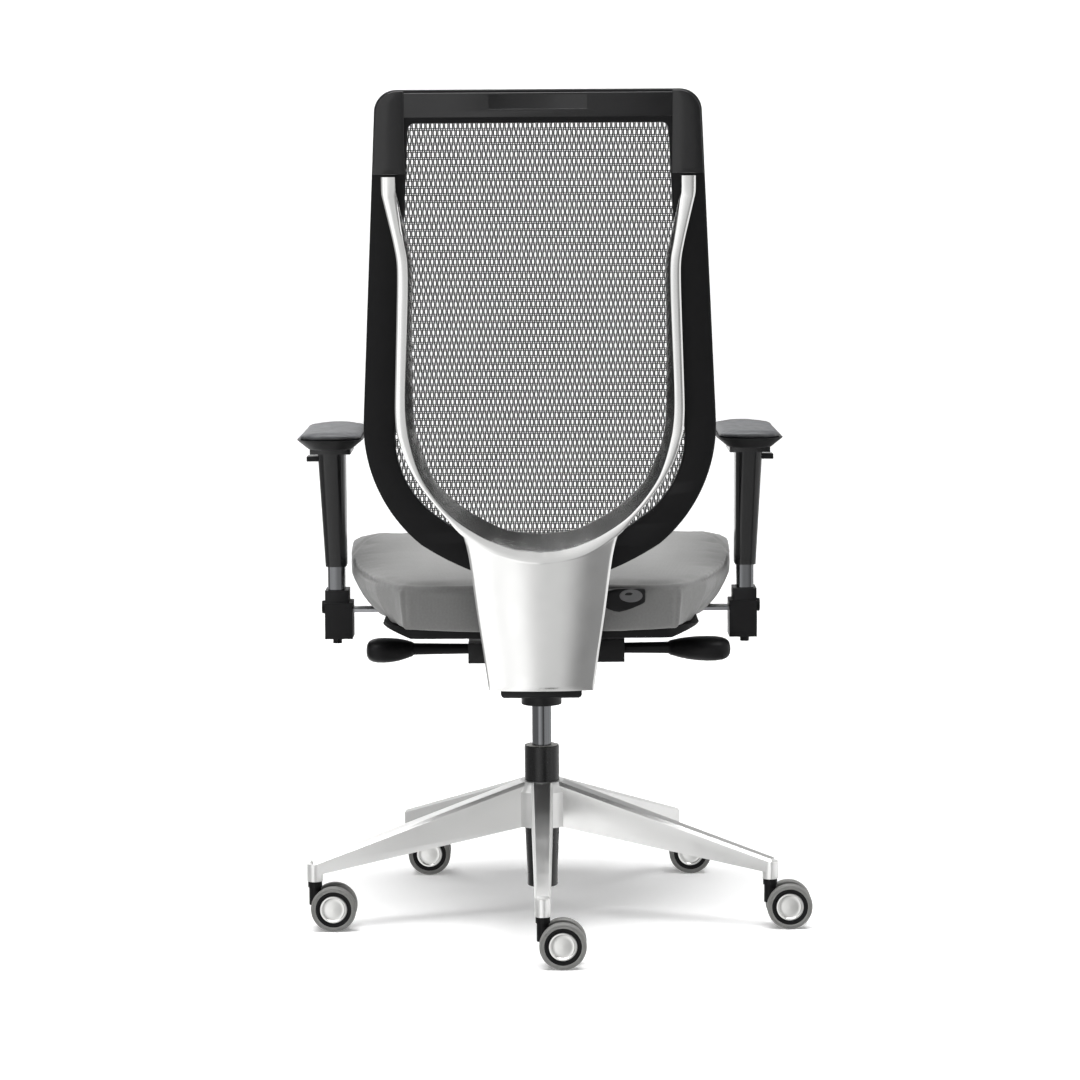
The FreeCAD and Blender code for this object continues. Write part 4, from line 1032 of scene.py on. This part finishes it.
def build_sweep():
    """White seamless paper under and behind the chair."""
    profile = [(-SWEEP_HALF, 0.0), (SWEEP_TURN, 0.0)]
    for k in range(1, 13):
        angle = math.radians(90 * k / 12)
        profile.append((SWEEP_TURN + SWEEP_RADIUS * math.sin(angle),
                        SWEEP_RADIUS - SWEEP_RADIUS * math.cos(angle)))
    profile.append((SWEEP_TURN + SWEEP_RADIUS, SWEEP_TOP))
    points = [(x, y, z) for y, z in profile for x in (-SWEEP_HALF, SWEEP_HALF)]
    faces = [(2 * i, 2 * i + 1, 2 * i + 3, 2 * i + 2) for i in range(len(profile) - 1)]
    sweep = new_mesh("floor_and_backdrop", points, faces)
    smooth(sweep, 60)
    # Coated paper: matt and even. It glows where it is far away, and the chair's polish does
    # not mirror it, so that the metal keeps its greys
    paper = finish("white_seamless_paper", linear("#fbfbfb"), 0.9, (400, 0.004), (300, 0.03),
                   [("Noise", 3, 0.01, EVEN)], {"IOR": 1.3, "Emission Color": (1, 1, 1, 1)})
    tree = paper.node_tree
    where = add(tree, "TexCoord").outputs["Object"]
    place = add(tree, "SeparateXYZ", None, {0: where})
    behind = add(tree, "MapRange", {1: 0.6, 2: 3.2, 3: 0.14, 4: 0.42}, {0: place.outputs["Y"]})
    away = add(tree, "VectorMath", {1: (0, 2.5, 0)}, {0: where}, operation="DISTANCE")
    edge = add(tree, "MapRange", {1: 4.2, 2: 6.5, 3: 0.0, 4: 0.65}, {0: away.outputs["Value"]})
    far = add(tree, "Math", None, {0: behind.outputs[0], 1: edge.outputs[0]}, operation="ADD")
    shader = next(n for n in tree.nodes if n.type == "BSDF_PRINCIPLED")
    tree.links.new(far.outputs[0], shader.inputs["Emission Strength"])
    sweep.data.materials.append(paper)
    sweep.visible_glossy = False


def build_world():
    """Only the camera sees white; polish mirrors a room, and a faint glow lights the rest."""
    world = bpy.data.worlds.new("Studio")
    bpy.context.scene.world = world
    world.use_nodes = True
    tree = world.node_tree
    tree.nodes.clear()
    path = add(tree, "LightPath").outputs
    way = add(tree, "TexCoord").outputs["Generated"]
    axes = add(tree, "SeparateXYZ", None, {0: way})
    band = add(tree, "TexWave", {"Scale": 1.2, "Distortion": 0.6, "Detail": 1.0},
               {"Vector": way}, bands_direction="X")
    level = add(tree, "MapRange", {3: 0.8, 4: 1.2}, {0: band.outputs["Fac"]}).outputs[0]
    for axis, start, end, low, high in ROOM_SPANS:
        ramp = add(tree, "MapRange", {1: start, 2: end, 3: low, 4: high},
                   {0: axes.outputs[axis]}, interpolation_type="SMOOTHSTEP")
        level = add(tree, "Math", None, {0: level, 1: ramp.outputs[0]},
                    operation="MULTIPLY").outputs[0]
    room = add(tree, "Background", {"Color": (1, 1, 1, 1)}, {"Strength": level})
    glow = add(tree, "Background", {"Color": (1, 1, 1, 1), "Strength": 0.16})
    white = add(tree, "Background", {"Color": (1, 1, 1, 1), "Strength": 1.0})
    lit = add(tree, "MixShader", None, {0: path["Is Glossy Ray"], 1: glow.outputs[0],
                                        2: room.outputs[0]})
    mixed = add(tree, "MixShader", None, {0: path["Is Camera Ray"], 1: lit.outputs[0],
                                          2: white.outputs[0]})
    tree.links.new(mixed.outputs[0], add(tree, "OutputWorld").inputs[0])


def build_stage():
    scene = bpy.context.scene
    scene.view_settings.view_transform = "Standard"
    deselect()
    build_sweep()
    build_world()
    for name, place, aim, size, power in LAMPS:
        light = bpy.data.lights.new(name, "AREA")
        light.shape = "RECTANGLE"
        light.size, light.size_y = size
        light.energy = power
        lamp = bpy.data.objects.new(name, light)
        scene.collection.objects.link(lamp)
        lamp.location = place
        lamp.rotation_euler = (Vector(aim) - Vector(place)).to_track_quat("-Z", "Y").to_euler()
    camera = bpy.data.cameras.new("camera")
    camera.lens = LENS
    camera.sensor_width = FILM
    camera.clip_end = 100
    eye = bpy.data.objects.new("camera", camera)
    scene.collection.objects.link(eye)
    pitch = Matrix.Rotation(math.radians(PITCH), 4, "X")
    roll = Matrix.Rotation(math.radians(ROLL), 4, "Z")
    eye.matrix_world = Matrix.Translation(EYE) @ pitch @ roll
    scene.camera = eye


# ---------------------------------------------------------------- add-on
class CHAIR_OT_materials(bpy.types.Operator):
    """Makes the finishes that the pieces share."""
    bl_idname = "chair.materials"
    bl_label = "Materials"

    def execute(self, context):
        make_materials(context.scene.chair_colours)
        return {"FINISHED"}


class CHAIR_OT_stage(bpy.types.Operator):
    """Makes the floor, the lights and the camera."""
    bl_idname = "chair.stage"
    bl_label = "Stage"

    def execute(self, context):
        build_stage()
        return {"FINISHED"}


class CHAIR_OT_yoke(bpy.types.Operator):
    """Makes the polished yoke that carries the back."""
    bl_idname = "chair.yoke"
    bl_label = "Yoke"

    def execute(self, context):
        build_yoke()
        return {"FINISHED"}


class CHAIR_OT_back_frame(bpy.types.Operator):
    """Makes the moulded frame, its rail trim and its corner covers."""
    bl_idname = "chair.back_frame"
    bl_label = "Back Frame"

    def execute(self, context):
        build_back_frame()
        return {"FINISHED"}


class CHAIR_OT_back_mesh(bpy.types.Operator):
    """Knits the back's open mesh and its edge strip."""
    bl_idname = "chair.back_mesh"
    bl_label = "Back Mesh"

    def execute(self, context):
        build_back_mesh(context.scene.chair_sizes)
        return {"FINISHED"}


class CHAIR_OT_seat(bpy.types.Operator):
    """Stuffs and sews the seat cushion on its pan."""
    bl_idname = "chair.seat"
    bl_label = "Seat"

    def execute(self, context):
        build_seat(context.scene.chair_sizes)
        return {"FINISHED"}


class CHAIR_OT_arms(bpy.types.Operator):
    """Makes both armrests."""
    bl_idname = "chair.arms"
    bl_label = "Armrests"

    def execute(self, context):
        build_arms()
        return {"FINISHED"}


class CHAIR_OT_base(bpy.types.Operator):
    """Makes the star base and the gas column."""
    bl_idname = "chair.base"
    bl_label = "Base"

    def execute(self, context):
        build_base()
        return {"FINISHED"}


class CHAIR_OT_casters(bpy.types.Operator):
    """Makes the five twin-wheel casters."""
    bl_idname = "chair.casters"
    bl_label = "Casters"

    def execute(self, context):
        build_casters()
        return {"FINISHED"}


class CHAIR_OT_mechanism(bpy.types.Operator):
    """Finishes the mechanism under the seat."""
    bl_idname = "chair.mechanism"
    bl_label = "Mechanism"

    def execute(self, context):
        build_mechanism()
        return {"FINISHED"}


class CHAIR_OT_levers(bpy.types.Operator):
    """Makes the two levers and the rear paddle."""
    bl_idname = "chair.levers"
    bl_label = "Levers"

    def execute(self, context):
        build_levers()
        return {"FINISHED"}


STEPS = [CHAIR_OT_materials, CHAIR_OT_stage, CHAIR_OT_yoke,
         CHAIR_OT_back_frame, CHAIR_OT_back_mesh, CHAIR_OT_seat,
         CHAIR_OT_arms, CHAIR_OT_base, CHAIR_OT_casters,
         CHAIR_OT_mechanism, CHAIR_OT_levers]


class CHAIR_PT_panel(bpy.types.Panel):
    """Lists the chair's sizes, colours and pieces."""
    bl_label = "Task Chair"
    bl_idname = "CHAIR_PT_panel"
    bl_space_type = "VIEW_3D"
    bl_region_type = "UI"
    bl_category = "Chair"

    def draw(self, context):
        for group in (context.scene.chair_sizes, context.scene.chair_colours):
            for name in group.bl_rna.properties.keys():
                if name not in ("rna_type", "name"):
                    self.layout.prop(group, name)
        for kind in STEPS:
            self.layout.operator(kind.bl_idname)


CLASSES = [ChairColours, ChairSizes, *STEPS, CHAIR_PT_panel]


def register():
    for kind in CLASSES:
        bpy.utils.register_class(kind)
    bpy.types.Scene.chair_colours = PointerProperty(type=ChairColours)
    bpy.types.Scene.chair_sizes = PointerProperty(type=ChairSizes)


def unregister():
    del bpy.types.Scene.chair_colours
    del bpy.types.Scene.chair_sizes
    for kind in reversed(CLASSES):
        bpy.utils.unregister_class(kind)


def main():
    register()
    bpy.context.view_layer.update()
    for kind in STEPS:
        getattr(bpy.ops.chair, kind.bl_idname.split(".")[1])()


if __name__ == "__main__":
    main()
